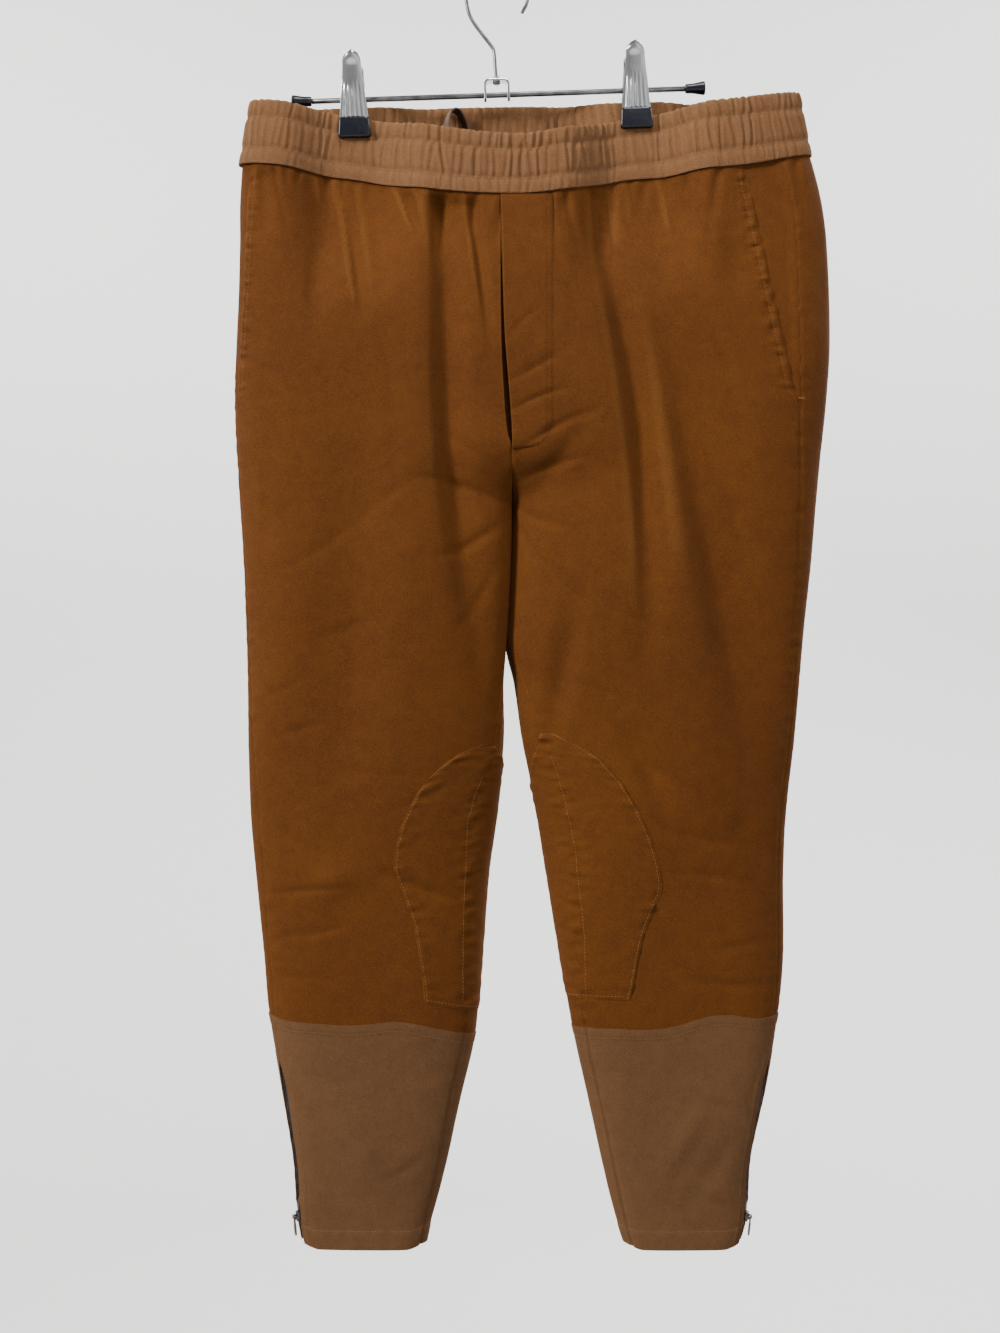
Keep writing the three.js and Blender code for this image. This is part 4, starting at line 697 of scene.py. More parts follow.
for leg, sign in SIDES.items():
    rows = np.linspace(WAIST + 0.4, MOUTHS[leg][1][1] + 6, 91)
    side = side_turn(leg, rows)
    mouth = mouth_turn(leg, rows, side)
    stride = cloth_a_turn(leg, mouth, rows)
    turns, widths = strip(leg, rows, mouth - FACING_LAP / np.maximum(stride, 1), side, 24)
    points = cloth(leg, turns, rows[:, None])
    normals = outward(points, sign)
    to_side = widths[:, None] * (1 - np.linspace(0, 1, 25))
    depth = mix(0.3, 1.6, ease(to_side, 0, 9))
    fade_and_light = 0.3 * np.exp(-to_side / 3)
    points = points - normals * depth[..., None]
    name = f"pocket_facing_{leg}"
    facing = cloth_piece(name, points, normals, WALL, RUST, fade_and_light, slot="rust_twill")
    along = np.linspace(WAIST + 6, MOUTHS[leg][1][1] - 3, 160)
    edge = mouth_turn(leg, along, side_turn(leg, along))
    inset = edge - MOUTH_STITCH / cloth_a_turn(leg, edge, along)
    sewn = [stitched(f"mouth_stitches_{leg}", [spot(leg, inset, along)], RUST_THREAD)]
    foot = np.full(12, MOUTHS[leg][1][1] - 1.0)
    bar = side_turn(leg, foot, np.linspace(-4.5, 4.5, 12))
    bars = [spot(leg, bar, foot + k) for k in (-0.6, 0, 0.6)]
    sewn += [stitched(f"bar_tack_{leg}", bars, OCHRE_THREAD, pitch=1.2, length=1.3)]

# ---------------------------------------------------------------------------
# The mock fly. A placket lies on the left front, free along the centre front and
# held by a J of topstitching. A second layer behind it closes the gap.
# ---------------------------------------------------------------------------
FLY_EDGE, FLY_TIP, FLY_ROUND, FLY_LIFT = 47, 424.5, 24, 1.5
FACE_ROWS = np.linspace(WAIST, HEM, 260)
FACE_TURNS = np.linspace(0, 1, 241)
front_faces = {leg: cloth(leg, FACE_TURNS[None], FACE_ROWS[:, None]) for leg in SIDES}


def found(leg, xs, lows):
    """The turn and the row of each point of the front at an x and a depth below the hook."""
    xs, lows = np.broadcast_arrays(np.asarray(xs, float), np.asarray(lows, float))
    flat_x, flat_low, sign = xs.ravel(), lows.ravel(), SIDES[leg]
    grid = front_faces[leg]
    turns = np.array([np.interp(flat_x * sign, row[:, 0] * sign, FACE_TURNS) for row in grid])
    depths = np.array([np.interp(flat_x * sign, row[:, 0] * sign, -row[:, 2]) for row in grid])
    rows = np.array([np.interp(low, depths[:, k], FACE_ROWS) for k, low in enumerate(flat_low)])
    turn = np.array([np.interp(row, FACE_ROWS, turns[:, k]) for k, row in enumerate(rows)])
    return turn.reshape(xs.shape), rows.reshape(xs.shape)


def fly_outer(low):
    """The outer side of the placket, which turns in at its foot."""
    into = np.clip(low - (FLY_TIP - FLY_ROUND), 0, FLY_ROUND)
    return FLY_EDGE - FLY_ROUND + np.sqrt(FLY_ROUND**2 - into**2)


centre_low = column(WAIST_LINE, "seam_front", 10, "x")
low = np.linspace(centre_low + 1, FLY_TIP, 161)[:, None]
outer_x = fly_outer(low)
inner_x = column(SECTIONS, "in_left", low) + 0.2
share = np.linspace(0, 1, 25)[None]
xs = mix(inner_x, outer_x, share)
turns, drops = found("left", xs, low)
points, normals = spot("left", turns, drops)
to_edge = (1 - share) * (outer_x - inner_x)
to_foot = FLY_TIP - low
lift = mix(0.25, FLY_LIFT, ease(to_edge, 0, 5)) * mix(0.5, 1, ease(to_foot, 0, 2))
lift = lift - 0.25 * crest(to_edge - 4, 1) + 0.12 * drift(xs, low, 18, 31)
fade_and_light = 0.6 * np.exp(-(share * (outer_x - inner_x)) / 1.5) + 0.35 * crest(to_edge - 3, 2)
raised = points + normals * lift[..., None]
placket = cloth_piece("fly_placket", raised, normals, 1.1, RUST, fade_and_light, slot="rust_twill")
round_foot, bend = FLY_ROUND - 3, np.linspace(0.03, 1.45, 30)
j_low = np.linspace(centre_low + 3, FLY_TIP - FLY_ROUND, 90)
j_low = np.concatenate([j_low, FLY_TIP - FLY_ROUND + round_foot * np.sin(bend)])
j_x = np.concatenate([np.full(90, FLY_EDGE - 3.0), FLY_EDGE - FLY_ROUND + round_foot * np.cos(bend)])
path, up = spot("left", *found("left", j_x, j_low))
sewn = stitched("fly_stitches", [(path + up * 0.8, up)], RUST_THREAD, thick=0.5)

rows = np.linspace(WAIST + 0.6, 425, 101)
inner = column(SECTIONS, "in_right", rows)[:, None]
xs = inner + np.linspace(-18, 18, 25)[None]
own = np.where(xs < inner, inner, column(SECTIONS, "in_left", rows)[:, None])
out_right, out_left = (column(SECTIONS, f"out_{leg}", rows)[:, None] for leg in SIDES)
out = np.where(xs < inner, out_right, out_left)
turns = 2 / np.pi * np.arcsin(np.clip((xs - own) / (out - own), 0, 1))
on_right, on_left = (cloth(leg, turns, rows[:, None]) for leg in SIDES)
points = np.where((xs < inner)[..., None], on_right, on_left)
points[..., 0] = xs
points[..., 1] += WALL + mix(1.3, 5.5, ease(rows, 175, 230))[:, None]
normals = np.zeros_like(points)
normals[..., 1] = -1
underlap = cloth_piece("fly_underlap", points, normals, WALL, RUST, 0 * xs, slot="rust_twill")

# ---------------------------------------------------------------------------
# Knee patches. A leaf of the same twill is turned under all round and edge
# stitched over the inseam, half on the front of the leg and half on the back.
# ---------------------------------------------------------------------------
# Their front edges and their seams run through points given as drop and x.
PATCHES = {
    "right": {
        "rows": (673.0, 893), "reach_back": 62, "apex": 1.1,
        "front": [
            (673, -3.3), (676.2, -17.7), (682.3, -32.3), (690.7, -44.9), (700.4, -55.4), (712.9, -65.9),
            (727.6, -74.3), (744.4, -81.7), (761.2, -85.9), (778, -87.5), (788.6, -84.4), (807.4, -77.4),
            (824.1, -71.8), (847.4, -67.4), (870.5, -63.8), (885.8, -62.1),
        ],
        "seam": [
            (702, -13), (717, -19), (731, -22.5), (737, -25), (780, -27), (796, -28), (825, -29),
            (862, -29.5), (893, -29.5),
        ],
    },
    "left": {
        "rows": (662, 888), "reach_back": 64, "apex": 0.75,
        "front": [
            (662, 39), (666.5, 52.5), (675.2, 69.4), (686.2, 88), (706.5, 105.8), (727, 118.4),
            (751, 129.4), (772, 136.2), (790.6, 139.5), (799.4, 138.7), (814.7, 132), (834, 124.4),
            (854, 119.7), (878, 115.6), (888, 113),
        ],
        "seam": [
            (684, 47), (718, 57), (739, 62), (764, 67), (787, 69), (818, 73), (840, 75), (888, 76),
        ],
    },
}
PATCH_INSET = 2.6
for leg, sign in SIDES.items():
    patch = PATCHES[leg]
    top, foot = patch["rows"]
    rows = mix(top + 0.6, foot, np.linspace(0, 1, 121) ** 1.35)
    inseam = inseam_turn(leg, rows)
    ahead = mix(inseam[:, None], inseam[:, None] + 0.62, np.linspace(0, 1, 200))
    grid = cloth(leg, ahead, rows[:, None])
    run = run_of(grid)
    goals = np.interp(rows, *zip(*patch["front"]))
    front_reach = [np.interp(x * sign, row[:, 0] * sign, r) for x, row, r in zip(goals, grid, run)]
    front_reach = np.array(front_reach)
    back_reach = front_reach * patch["reach_back"] / front_reach.max()
    back_reach = np.minimum(back_reach, (rows - top) * patch["apex"])
    lengths = mix(-back_reach[:, None], front_reach[:, None], np.linspace(0, 1, 65))
    inseam_way = column(SEAM_LINES, f"inseam_{leg}", rows)
    turns = walked(leg, 0, rows, lengths + inseam_way[:, None])
    points = cloth(leg, turns, rows[:, None])
    normals = outward(points, sign)
    edge = np.minimum(lengths + back_reach[:, None], front_reach[:, None] - lengths)
    edge = np.minimum(edge, np.minimum(rows - top, foot - rows)[:, None])
    lift = mix(0.5, 1.3, ease(edge, 0, 1.2)) - 0.35 * crest(edge - PATCH_INSET, 1)
    lift = lift + 0.15 * drift(lengths, rows[:, None], 16, 41)
    lift = lift + 1.5 * drift(rows[:, None], edge * 0.25, 9, 43) * np.exp(-edge / 9) * ease(edge, 0, 2)
    lift = lift + 1.3 * drift(rows[:, None], lengths * 0.25, 9, 47) * np.exp(-np.abs(lengths) / 9)
    fade_and_light = 0.4 * crest(edge, 1.4) + 0.2 * crest(edge - 3, 2)
    raised = points + normals * lift[..., None]
    made = cloth_piece(f"knee_patch_{leg}", raised, normals, 1.0, RUST, fade_and_light, slot="rust_twill")
    paths = []
    for reach in (PATCH_INSET - back_reach, front_reach - PATCH_INSET):
        paths.append(spot(leg, walked(leg, 0, rows[4:], (reach + inseam_way)[4:]), rows[4:]))
    foot_rows = np.full(60, foot - PATCH_INSET)
    foot_reach = np.linspace(PATCH_INSET - back_reach[-1], front_reach[-1] - PATCH_INSET, 60)
    paths.append(spot(leg, walked(leg, 0, foot_rows, foot_reach + inseam_way[-1]), foot_rows))
    seam = np.array(patch["seam"])
    low = np.linspace(seam[0, 0], seam[-1, 0], 80)
    paths.append(spot(leg, *found(leg, np.interp(low, seam[:, 0], seam[:, 1]), low)))
    lines = []
    for path, up in paths:
        apart = np.linalg.norm(path[:, None] - points.reshape(1, -1, 3), axis=2)
        nearest = np.argsort(apart, axis=1)[:, :4]
        weight = 1 / (np.take_along_axis(apart, nearest, 1) + 0.05)
        stand = np.sum(lift.ravel()[nearest] * weight, axis=1) / np.sum(weight, axis=1)
        lines.append((path + up * stand[:, None], up))
    sewn = stitched(f"patch_stitches_{leg}", lines, OCHRE_THREAD, thick=0.55)

# ---------------------------------------------------------------------------
# Waistband. A tan twill casing over wide elastic, which three channels of
# stitching draw into about sixty gathers at the front and at the back.
# ---------------------------------------------------------------------------
TAUPE = twill("taupe_twill", (0.222, 0.105, 0.044), (0.132, 0.058, 0.023), (0.31, 0.162, 0.074))
TAN_THREAD = thread("tan_thread", (0.25, 0.122, 0.053), (0.165, 0.076, 0.031))
BAND_TOP = {"right": -212.5, "left": 260.7, "centre": 3, "front": 22, "back": 17}
BAND_OUT, BAND_WALL, BAND_HEIGHT = 0.9, 3.0, 54
BAND_STITCHES = (0.24, 0.73)


def band(leg, turn, height):
    """Points of the waistband's middle surface. height runs from 0 at the waist seam to 1 at the top."""
    turn, height = np.broadcast_arrays(np.asarray(turn, float), np.asarray(height, float))
    across, depth = trunk_oval(turn)
    x = mix(BAND_TOP["centre"], mix(column(SECTIONS, f"out_{leg}", WAIST), BAND_TOP[leg], height), across)
    on_front = turn <= 1
    front = mix(column(SECTIONS, "front", WAIST), BAND_TOP["front"], height)
    back = mix(column(SECTIONS, "back", WAIST), BAND_TOP["back"], height)
    y = pinched(-np.where(on_front, front, back) * depth, x, 1)
    foot, top = (either(on_front, WAIST_LINE, edge, x, "x") for edge in ("seam_", "top_"))
    return np.stack([x, y, -mix(foot, top, height)], -1)


def band_grid(face, cells, heights):
    """Points of the band's middle surface at even steps along it, from the right side seam to the left."""
    centre = 0 if face == "front" else 2
    sides = {leg: side_turn(leg, np.array([float(WAIST)]))[0] for leg in SIDES}
    right, left = np.linspace(sides["right"], centre, 400), np.linspace(centre, sides["left"], 400)
    middle = np.concatenate([band("right", right, 0.5), band("left", left, 0.5)[1:]])
    run = length_of(middle)
    along = np.linspace(0, run[-1], cells + 1)
    at = np.interp(along, run, np.concatenate([-np.abs(right - centre), np.abs(left - centre)[1:]]))
    turns = centre + np.abs(at) * (1 if face == "front" else -1)
    on_right, on_left = (band(leg, turns[None], heights[:, None]) for leg in SIDES)
    return np.where((at < 0)[None, :, None], on_right, on_left), along


def gathers(along, height, length, seed, count):
    """Uneven gathers of shirred cloth: deep pleats, each with its own place, lean and length."""
    chance = np.random.default_rng(seed)
    gaps = chance.uniform(0.62, 1.38, count)
    places = np.cumsum(gaps) / gaps.sum() * length - length / count / 2
    total = np.zeros(np.broadcast(along, height).shape)
    for place in places:
        deep, wide = chance.uniform(0.5, 1.4), chance.uniform(1.1, 2.0)
        lean, sway = chance.normal(0, 3.5), chance.uniform(0.2, 0.9)
        phase = chance.uniform(0, 6.28)
        start, stop = chance.uniform(-0.6, 0.12), chance.uniform(0.75, 1.5)
        line = place + lean * (height - 0.5) + sway * np.sin(height * 7 + phase)
        lasts = ease(height, start, start + 0.12) * (1 - ease(height, stop, stop + 0.2))
        off = (along - line) / wide
        total = total - deep * lasts * (np.exp(-np.abs(off) ** 1.5) - 0.45 * crest(np.abs(off) - 1.9, 1))
    return total


BAND_LEVELS = 40
heights = np.linspace(0, 1, BAND_LEVELS + 1)
for face, seed, count in (("front", 5, 60), ("back", 9, 56)):
    grid, along = band_grid(face, 560, heights)
    normals = unit(np.cross(np.gradient(grid, axis=1), np.gradient(grid, axis=0)))
    if (face == "front") != (normals[20, 280, 1] < 0):
        normals = -normals
    h = heights[:, None]
    above_low, above_high = (ease(h, row - 0.04, row + 0.04) for row in BAND_STITCHES)

    def gathered(draw, pleats, level=h):
        return gathers(along[None], level, along[-1], seed + draw, pleats)

    shirred = gathered(0, count) * above_low * (1 - above_high)
    shirred = shirred + 0.5 * gathered(1, count - 8) * (1 - above_low) + gathered(2, count + 4) * above_high
    calm = mix(0.25, 1, ease(from_clip(grid[..., 0]), 12, 22))
    calm = calm * mix(0.55, 1, ease(grid[..., 0], -185, -120))
    drawn = 1 - 0.55 * sum(crest((h - row) * BAND_HEIGHT, 1.6) for row in BAND_STITCHES)
    puff = 1.1 * (1 - sum(crest((h - row) * BAND_HEIGHT, 3.5) for row in BAND_STITCHES))
    below_top, above_seam = (1 - h) * BAND_HEIGHT, h * BAND_HEIGHT
    turned = -0.9 * np.exp(-below_top / 2) - 0.5 * np.exp(-above_seam / 2)
    relief = BAND_OUT + calm * (1.05 * shirred * drawn) + puff + turned
    outer = grid + normals * relief[..., None]
    outer[..., 2] += 0.9 * gathered(0, count, 1 + 0 * h) * ease(h, 0.9, 1) * calm
    inside = BAND_WALL - BAND_OUT + 1.2 * gathered(20, count) * calm + 0.2
    inner = (grid - normals * inside[..., None])[::2, ::2]
    # The gathers' troughs stay darker, a painted shade, and their crests turn paler, partly wear and partly
    # a painted highlight; the paler top edge is wear.
    fade_and_light = np.clip(0.25 + 0.3 * shirred, 0, 0.6) + 0.35 * np.exp(-below_top / 1.5)
    marks = np.concatenate([fade_and_light.ravel(), fade_and_light[::2, ::2].ravel()])
    name = f"waistband_{face}"
    made = piece(name, *shell(outer, inner), TAUPE, replaces=[name], slot="taupe_twill", wear=marks)
    levels = [round(row * BAND_LEVELS) for row in (*BAND_STITCHES, 0.03)]
    lines = [(outer[k], normals[k]) for k in levels]
    sewn = stitched(f"band_stitches_{face}", lines, TAN_THREAD, pitch=2.9, length=2.2)

# ---------------------------------------------------------------------------
# The hanging loop: a dark ribbon folded into an arch and sewn inside the back of
# the waistband, leaning to one side.
# ---------------------------------------------------------------------------
RIBBON = Finish("dark_ribbon", Sheen_Weight=0.3, Sheen_Roughness=0.4, Specular_IOR_Level=0.3)
RIB_MM = 0.7
ribs = (RIBBON.place()[1] * (2000 * math.pi / RIB_MM)).sine()
fuzz = RIBBON.noise(1.2, 2)
RIBBON.set(Base_Color=RIBBON.mixed((0.06, 0.026, 0.014), (0.12, 0.056, 0.03), fuzz.between(0.3, 0.7)))
RIBBON.set(Roughness=0.7 + fuzz * 0.2)
RIBBON.bumped(ribs * 0.5 + fuzz, 0.12, 0.6)


def joined(*solids):
    """Several solids as the points and faces of one piece."""
    points, faces, base = [], [], 0
    for solid_points, solid_faces in solids:
        points.append(np.asarray(solid_points))
        faces += [[base + v for v in face] for face in solid_faces]
        base += len(solid_points)
    return np.concatenate(points), faces


def sideways(line):
    """Unit vectors square to a flat line of points."""
    along = unit(np.gradient(line, axis=0))
    return np.stack([-along[:, 1], along[:, 0]], -1)


LOOP_X, LOOP_Y, LOOP_FOOT, LOOP_TOP, LOOP_HALF = -33, 8.9, 152, 122.5, 11
LOOP_LEAN, LOOP_TURN, RIBBON_WALL = 4, math.radians(26), 1.2
bend = np.linspace(np.pi, 0, 49)
reach, crown = LOOP_HALF - RIBBON_WALL / 2, LOOP_TOP + RIBBON_WALL / 2
across = LOOP_X + reach * np.cos(bend) - LOOP_LEAN * np.sin(bend)
line = np.stack([across, mix(-LOOP_FOOT, -crown, np.sin(bend) ** 0.8)], -1)
edge = [(-0.5, -1), (-0.62, -0.9), (-0.62, 0.9), (-0.5, 1), (0.5, 1), (0.62, 0.9), (0.62, -0.9), (0.5, -1)]
rings = [
    [(x + ox * a - LOOP_X, 1 + 5.05 * b + 0.25 * math.sin(5 * t), z + oz * a) for a, b in edge]
    for (x, z), (ox, oz), t in zip(line, sideways(line), bend)
]
cos, sin = math.cos(LOOP_TURN), math.sin(LOOP_TURN)
rings = np.array(rings) @ [(cos, sin, 0), (-sin, cos, 0), (0, 0, 1)] + (LOOP_X, LOOP_Y, 0)
made = piece("hanging_loop", *ringed(rings), RIBBON, replaces=["hanging_loop"], slot="dark_ribbon")

# ---------------------------------------------------------------------------
# Lower legs. Tan twill like the waistband, a front and a back for each leg, sewn
# to the thigh cloth, topstitched under that seam, and turned up at the hem.
# ---------------------------------------------------------------------------
# A darker copy of the band's twill and thread: painted shade for the dimmer light low on the legs.
SHADED_TAUPE = twill("taupe_twill_shaded", (0.163, 0.077, 0.0315), (0.1, 0.0455, 0.018), (0.24, 0.128, 0.059))
SHADED_TAUPE_THREAD = thread("taupe_thread_shaded", (0.19, 0.092, 0.039), (0.12, 0.055, 0.022))
ZIP_TOP, ZIP_OPEN, ZIP_CUP, CUP_DROP, ZIP_SHOWS, ZIP_STITCH = 951, 1.7, 4.6, 1070, 4.2, 7.0
LOWER_LEVELS, LOWER_CELLS, LOWER_DRAWN_IN = 96, 72, 0.65
LOWER_ROWS = np.linspace(JOIN, HEM, LOWER_LEVELS + 1)
JOIN_STITCH, HEM_TURNED = 8.5, 16.5


def zip_gap(drops):
    """Half the gap between the lips of the zip."""
    opened = mix(0.15, ZIP_OPEN, ease(drops, ZIP_TOP - 2, ZIP_TOP + 8))
    slimmed = 0.7 * ease(drops, 985, 1020) * (1 - ease(drops, CUP_DROP - 4, CUP_DROP + 6))
    return opened - slimmed + (ZIP_CUP - ZIP_OPEN) * ease(drops, CUP_DROP - 4, CUP_DROP + 6)


def stood_back(drops):
    """How far the front lip stands back from the zip."""
    return ZIP_SHOWS * ease(drops, ZIP_TOP, ZIP_TOP + 22) * (1 - ease(drops, 1058, 1076))


def turned_under(distance, stitch, thick):
    """The cloth turned under at an edge stands proud as far as its line of stitches."""
    proud = thick * (1 - ease(distance, stitch - 0.6, stitch + 1.2))
    return proud - 0.35 * crest(distance - stitch, 1)


for leg, sign in SIDES.items():
    zip_line = -column(SEAM_LINES, f"side_{leg}", LOWER_ROWS)
    gap = zip_gap(LOWER_ROWS)
    apart = np.stack([-gap - stood_back(LOWER_ROWS), gap], -1)
    lips = walked(leg, 1, LOWER_ROWS, zip_line[:, None] + apart)
    inseam = inseam_turn(leg, LOWER_ROWS)
    for face, start, end in (("front", inseam, lips[:, 0]), ("back", lips[:, 1], 2 + inseam)):
        turns, widths = strip(leg, LOWER_ROWS, start, end, LOWER_CELLS, LOWER_DRAWN_IN)
        points = cloth(leg, turns, LOWER_ROWS[:, None])
        normals = outward(points, sign)
        from_start = closer(LOWER_CELLS, LOWER_DRAWN_IN) * widths[:, None]
        from_end = widths[:, None] - from_start
        from_inseam, from_zip = (from_start, from_end)[:: 1 if face == "front" else -1]
        below_join, above_hem = (LOWER_ROWS - JOIN)[:, None], (HEM - LOWER_ROWS)[:, None]
        relief = seam_relief(from_inseam, LOWER_ROWS, 51, groove=1.1, swell=0.3)
        beside_zip = ease(LOWER_ROWS, ZIP_TOP - 14, ZIP_TOP - 4)[:, None]
        puckers = drift(LOWER_ROWS[:, None], from_zip, 12, 53) * np.exp(-from_zip / 8)
        relief = relief + beside_zip * (0.35 * (1 - ease(from_zip, 6.2, 7.6)) + 0.25 * puckers)
        relief = relief + turned_under(below_join, JOIN_STITCH, 0.5)
        relief = relief + 0.35 * drift(from_start, below_join * 0.6, 11, 55) * np.exp(-below_join / 9)
        relief = relief + turned_under(above_hem, HEM_TURNED, 0.55)
        from_fold = np.abs(above_hem - HEM_TURNED)
        relief = relief + 0.4 * drift(from_start, above_hem * 0.5, 14, 57) * np.exp(-from_fold / 7)
        fade_and_light = 0.3 * crest(from_inseam - 3, 1.5) + 0.3 * np.exp(-above_hem / 1.6)
        fade_and_light = fade_and_light + 0.2 * np.exp(-below_join / 1.5) + 0.25 * np.exp(-from_zip / 1.5)
        raised = points + normals * relief[..., None]
        made = cloth_piece(f"lower_{face}_{leg}", raised, normals, WALL, SHADED_TAUPE, fade_and_light, slot="taupe_twill")
        lines = []
        for below in (JOIN_STITCH, HEM - JOIN - HEM_TURNED):
            k = round(below / (HEM - JOIN) * LOWER_LEVELS)
            lines.append((raised[k, 1:-1], normals[k, 1:-1]))
        rows = LOWER_ROWS[(LOWER_ROWS > ZIP_TOP - 8) & (LOWER_ROWS < HEM - 2)]
        aside = -ZIP_STITCH - stood_back(rows) if face == "front" else ZIP_STITCH
        path, up = spot(leg, side_turn(leg, rows, aside), rows)
        lines.append((path + up * 0.2, up))
        sewn = stitched(f"lower_stitches_{face}_{leg}", lines, SHADED_TAUPE_THREAD)

# ---------------------------------------------------------------------------
# Ankle zips. A woven tape behind the opening carries a row of metal teeth on each
# edge, closed down to a slider with a hinged pull just above the hem.
# ---------------------------------------------------------------------------
TAPE = Finish("zip_tape", Sheen_Weight=0.2, Roughness=0.85)
weave = TAPE.noise(0.8, 2)
TAPE.set(Base_Color=TAPE.mixed((0.02, 0.009, 0.006), (0.04, 0.019, 0.011), weave.between(0.3, 0.7)))
TAPE.bumped(weave, 0.1, 0.6)
ZIP_METAL = Finish("zip_metal", Metallic=1.0)
tarnish = ZIP_METAL.noise(5, 3)
dark, bright = (0.05, 0.036, 0.034), (0.12, 0.095, 0.09)
ZIP_METAL.set(Base_Color=ZIP_METAL.mixed(dark, bright, tarnish.between(0.35, 0.7)))
ZIP_METAL.set(Roughness=0.28 + tarnish * 0.25)
ZIP_METAL.bumped(ZIP_METAL.noise(0.9, 2), 0.03, 0.4)
ZIP_TAPE, TAPE_WALL, TOOTH_PITCH = 9, 0.9, 1.15
SLIDER_DROP, SLIDER_SUNK, PIN_STAND = 1085, 1.1, 4.6


def slab(outline, low, high, bevel, centre=(0, 0)):
    """Rings of a flat pressed shape: its outline at rising depths, drawn in a little at both faces."""
    outline = np.asarray(outline, float)
    rings = []
    for depth, inset in ((low, bevel), (low + bevel * 0.3, bevel * 0.3), (low + bevel, 0),
                         (high - bevel, 0), (high - bevel * 0.3, bevel * 0.3), (high, bevel)):
        away = outline - centre
        drawn = centre + away - unit(away) * inset
        rings.append([(depth, b, c) for b, c in drawn])
    return rings


def rounded(half_b, half_c, corner, steps, lift=0):
    """The outline of a rectangle with round corners."""
    turn = np.linspace(0, np.pi / 2, steps)
    spots = []
    for quarter, (sb, sc) in enumerate(((1, 1), (-1, 1), (-1, -1), (1, -1))):
        for a in turn + quarter * np.pi / 2:
            b, c = sb * (half_b - corner), lift + sc * (half_c - corner)
            spots.append((b + corner * math.cos(a), c + corner * math.sin(a)))
    return spots


def circle(sides):
    return np.linspace(0, 2 * np.pi, sides + 1)[:-1]


def rod(start, end, radius, sides, bevel=0.0):
    """A round rod between two points, with its rims taken off by a bevel."""
    start, end = np.asarray(start, float), np.asarray(end, float)
    way = unit(end - start)
    side = unit(np.cross(way, (0, 0, 1.0) if abs(way[2]) < 0.9 else (1.0, 0, 0)))
    turns = circle(sides)[:, None]
    ring = np.cos(turns) * side + np.sin(turns) * np.cross(way, side)
    stations = [(start, radius)] if not bevel else [(start, radius - bevel), (start + way * bevel, radius)]
    stations += [(end, radius)] if not bevel else [(end - way * bevel, radius), (end, radius - bevel)]
    return ringed([centre + ring * r for centre, r in stations])


def zip_frame(leg, drop):
    """A point on the zip's line, and the ways outward, across and up there."""
    (point,), (out,) = spot(leg, side_turn(leg, np.array([drop])), drop)
    up = unit(np.array([0, 0, 1.0]) - out * out[2])
    return point, np.array([out, np.cross(up, out), up])


TAB = [(1.5, 1.0), (1.5, -3.0), (1.9, -4.4), (2.4, -5.6), (2.4, -13.4), (2.1, -14.9), (1.2, -16)]
for leg, sign in SIDES.items():
    rows = np.linspace(ZIP_TOP + 8, HEM - 2, 76)
    middle = -column(SEAM_LINES, f"side_{leg}", rows)
    turns = walked(leg, 1, rows, middle[:, None] + np.linspace(-ZIP_TAPE, ZIP_TAPE, 17)[None])
    points = cloth(leg, turns, rows[:, None])
    normals = outward(points, sign)
    points, fade_and_light = points - normals * (WALL + 0.3), 0 * turns
    name = f"zip_tape_{leg}"
    tape = cloth_piece(name, points, normals, TAPE_WALL, TAPE, fade_and_light, sparse=1, slot="dark_ribbon")
    tooth, faces = ringed(slab(rounded(1.15, 0.42, 0.25, 3), -1.55, -0.75, 0.15))
    teeth = []
    for k, drop in enumerate(np.arange(ZIP_TOP + 10, SLIDER_DROP - 3, TOOTH_PITCH)):
        point, ways = zip_frame(leg, drop)
        teeth.append((point + (tooth + (0, 0.55 if k % 2 else -0.55, 0)) @ ways, faces))
    metal = piece(f"zip_teeth_{leg}", *joined(*teeth), ZIP_METAL, slot="zip_metal")

    point, ways = zip_frame(leg, SLIDER_DROP)
    point = point - ways[0] * SLIDER_SUNK
    shield = [(b * mix(0.8, 1.0, (c + 4.5) / 9), c) for b, c in rounded(3.4, 4.5, 1.8, 7)]
    plate = ringed(slab(shield, 0, 2.4, 0.5))
    ridge = ringed(slab([(b * 0.55, c * 0.7) for b, c in shield], 2.3, 2.75, 0.2))
    lug = rounded(1.65, 1.4, 0.9, 5)
    lugs = [ringed([[(3.95 + a, b, c) for a, c in lug] for b in ends]) for ends in ((2, 3), (-3, -2))]
    pin = rod((PIN_STAND, -2.9, 0), (PIN_STAND, 2.9, 0), 0.6, 16)
    tab = ringed(slab([(-b, c) for b, c in TAB[:1]] + TAB + [(-b, c) for b, c in TAB[:0:-1]],
                      PIN_STAND - 0.5, PIN_STAND + 0.5, 0.2, centre=(0, -8)))
    rim = [(b * 0.62, -10 + (c + 10) * 0.72) for b, c in rounded(2.4, 5.2, 1.6, 6, lift=-10)]
    raised = ringed(slab(rim, PIN_STAND + 0.4, PIN_STAND + 0.62, 0.1, centre=(0, -10)))
    knuckle = rod((PIN_STAND, -1.5, 0), (PIN_STAND, 1.5, 0), 1.5, 24, 0.2)
    slider, pull = joined(plate, ridge, *lugs, pin), joined(tab, raised, knuckle)
    for name, body, (points, faces) in (("slider", "root", slider), ("pull", f"pull_{leg}", pull)):
        name = f"zip_{name}_{leg}"
        piece(name, point + points @ ways, faces, ZIP_METAL, body, replaces=[name], slot="zip_metal")

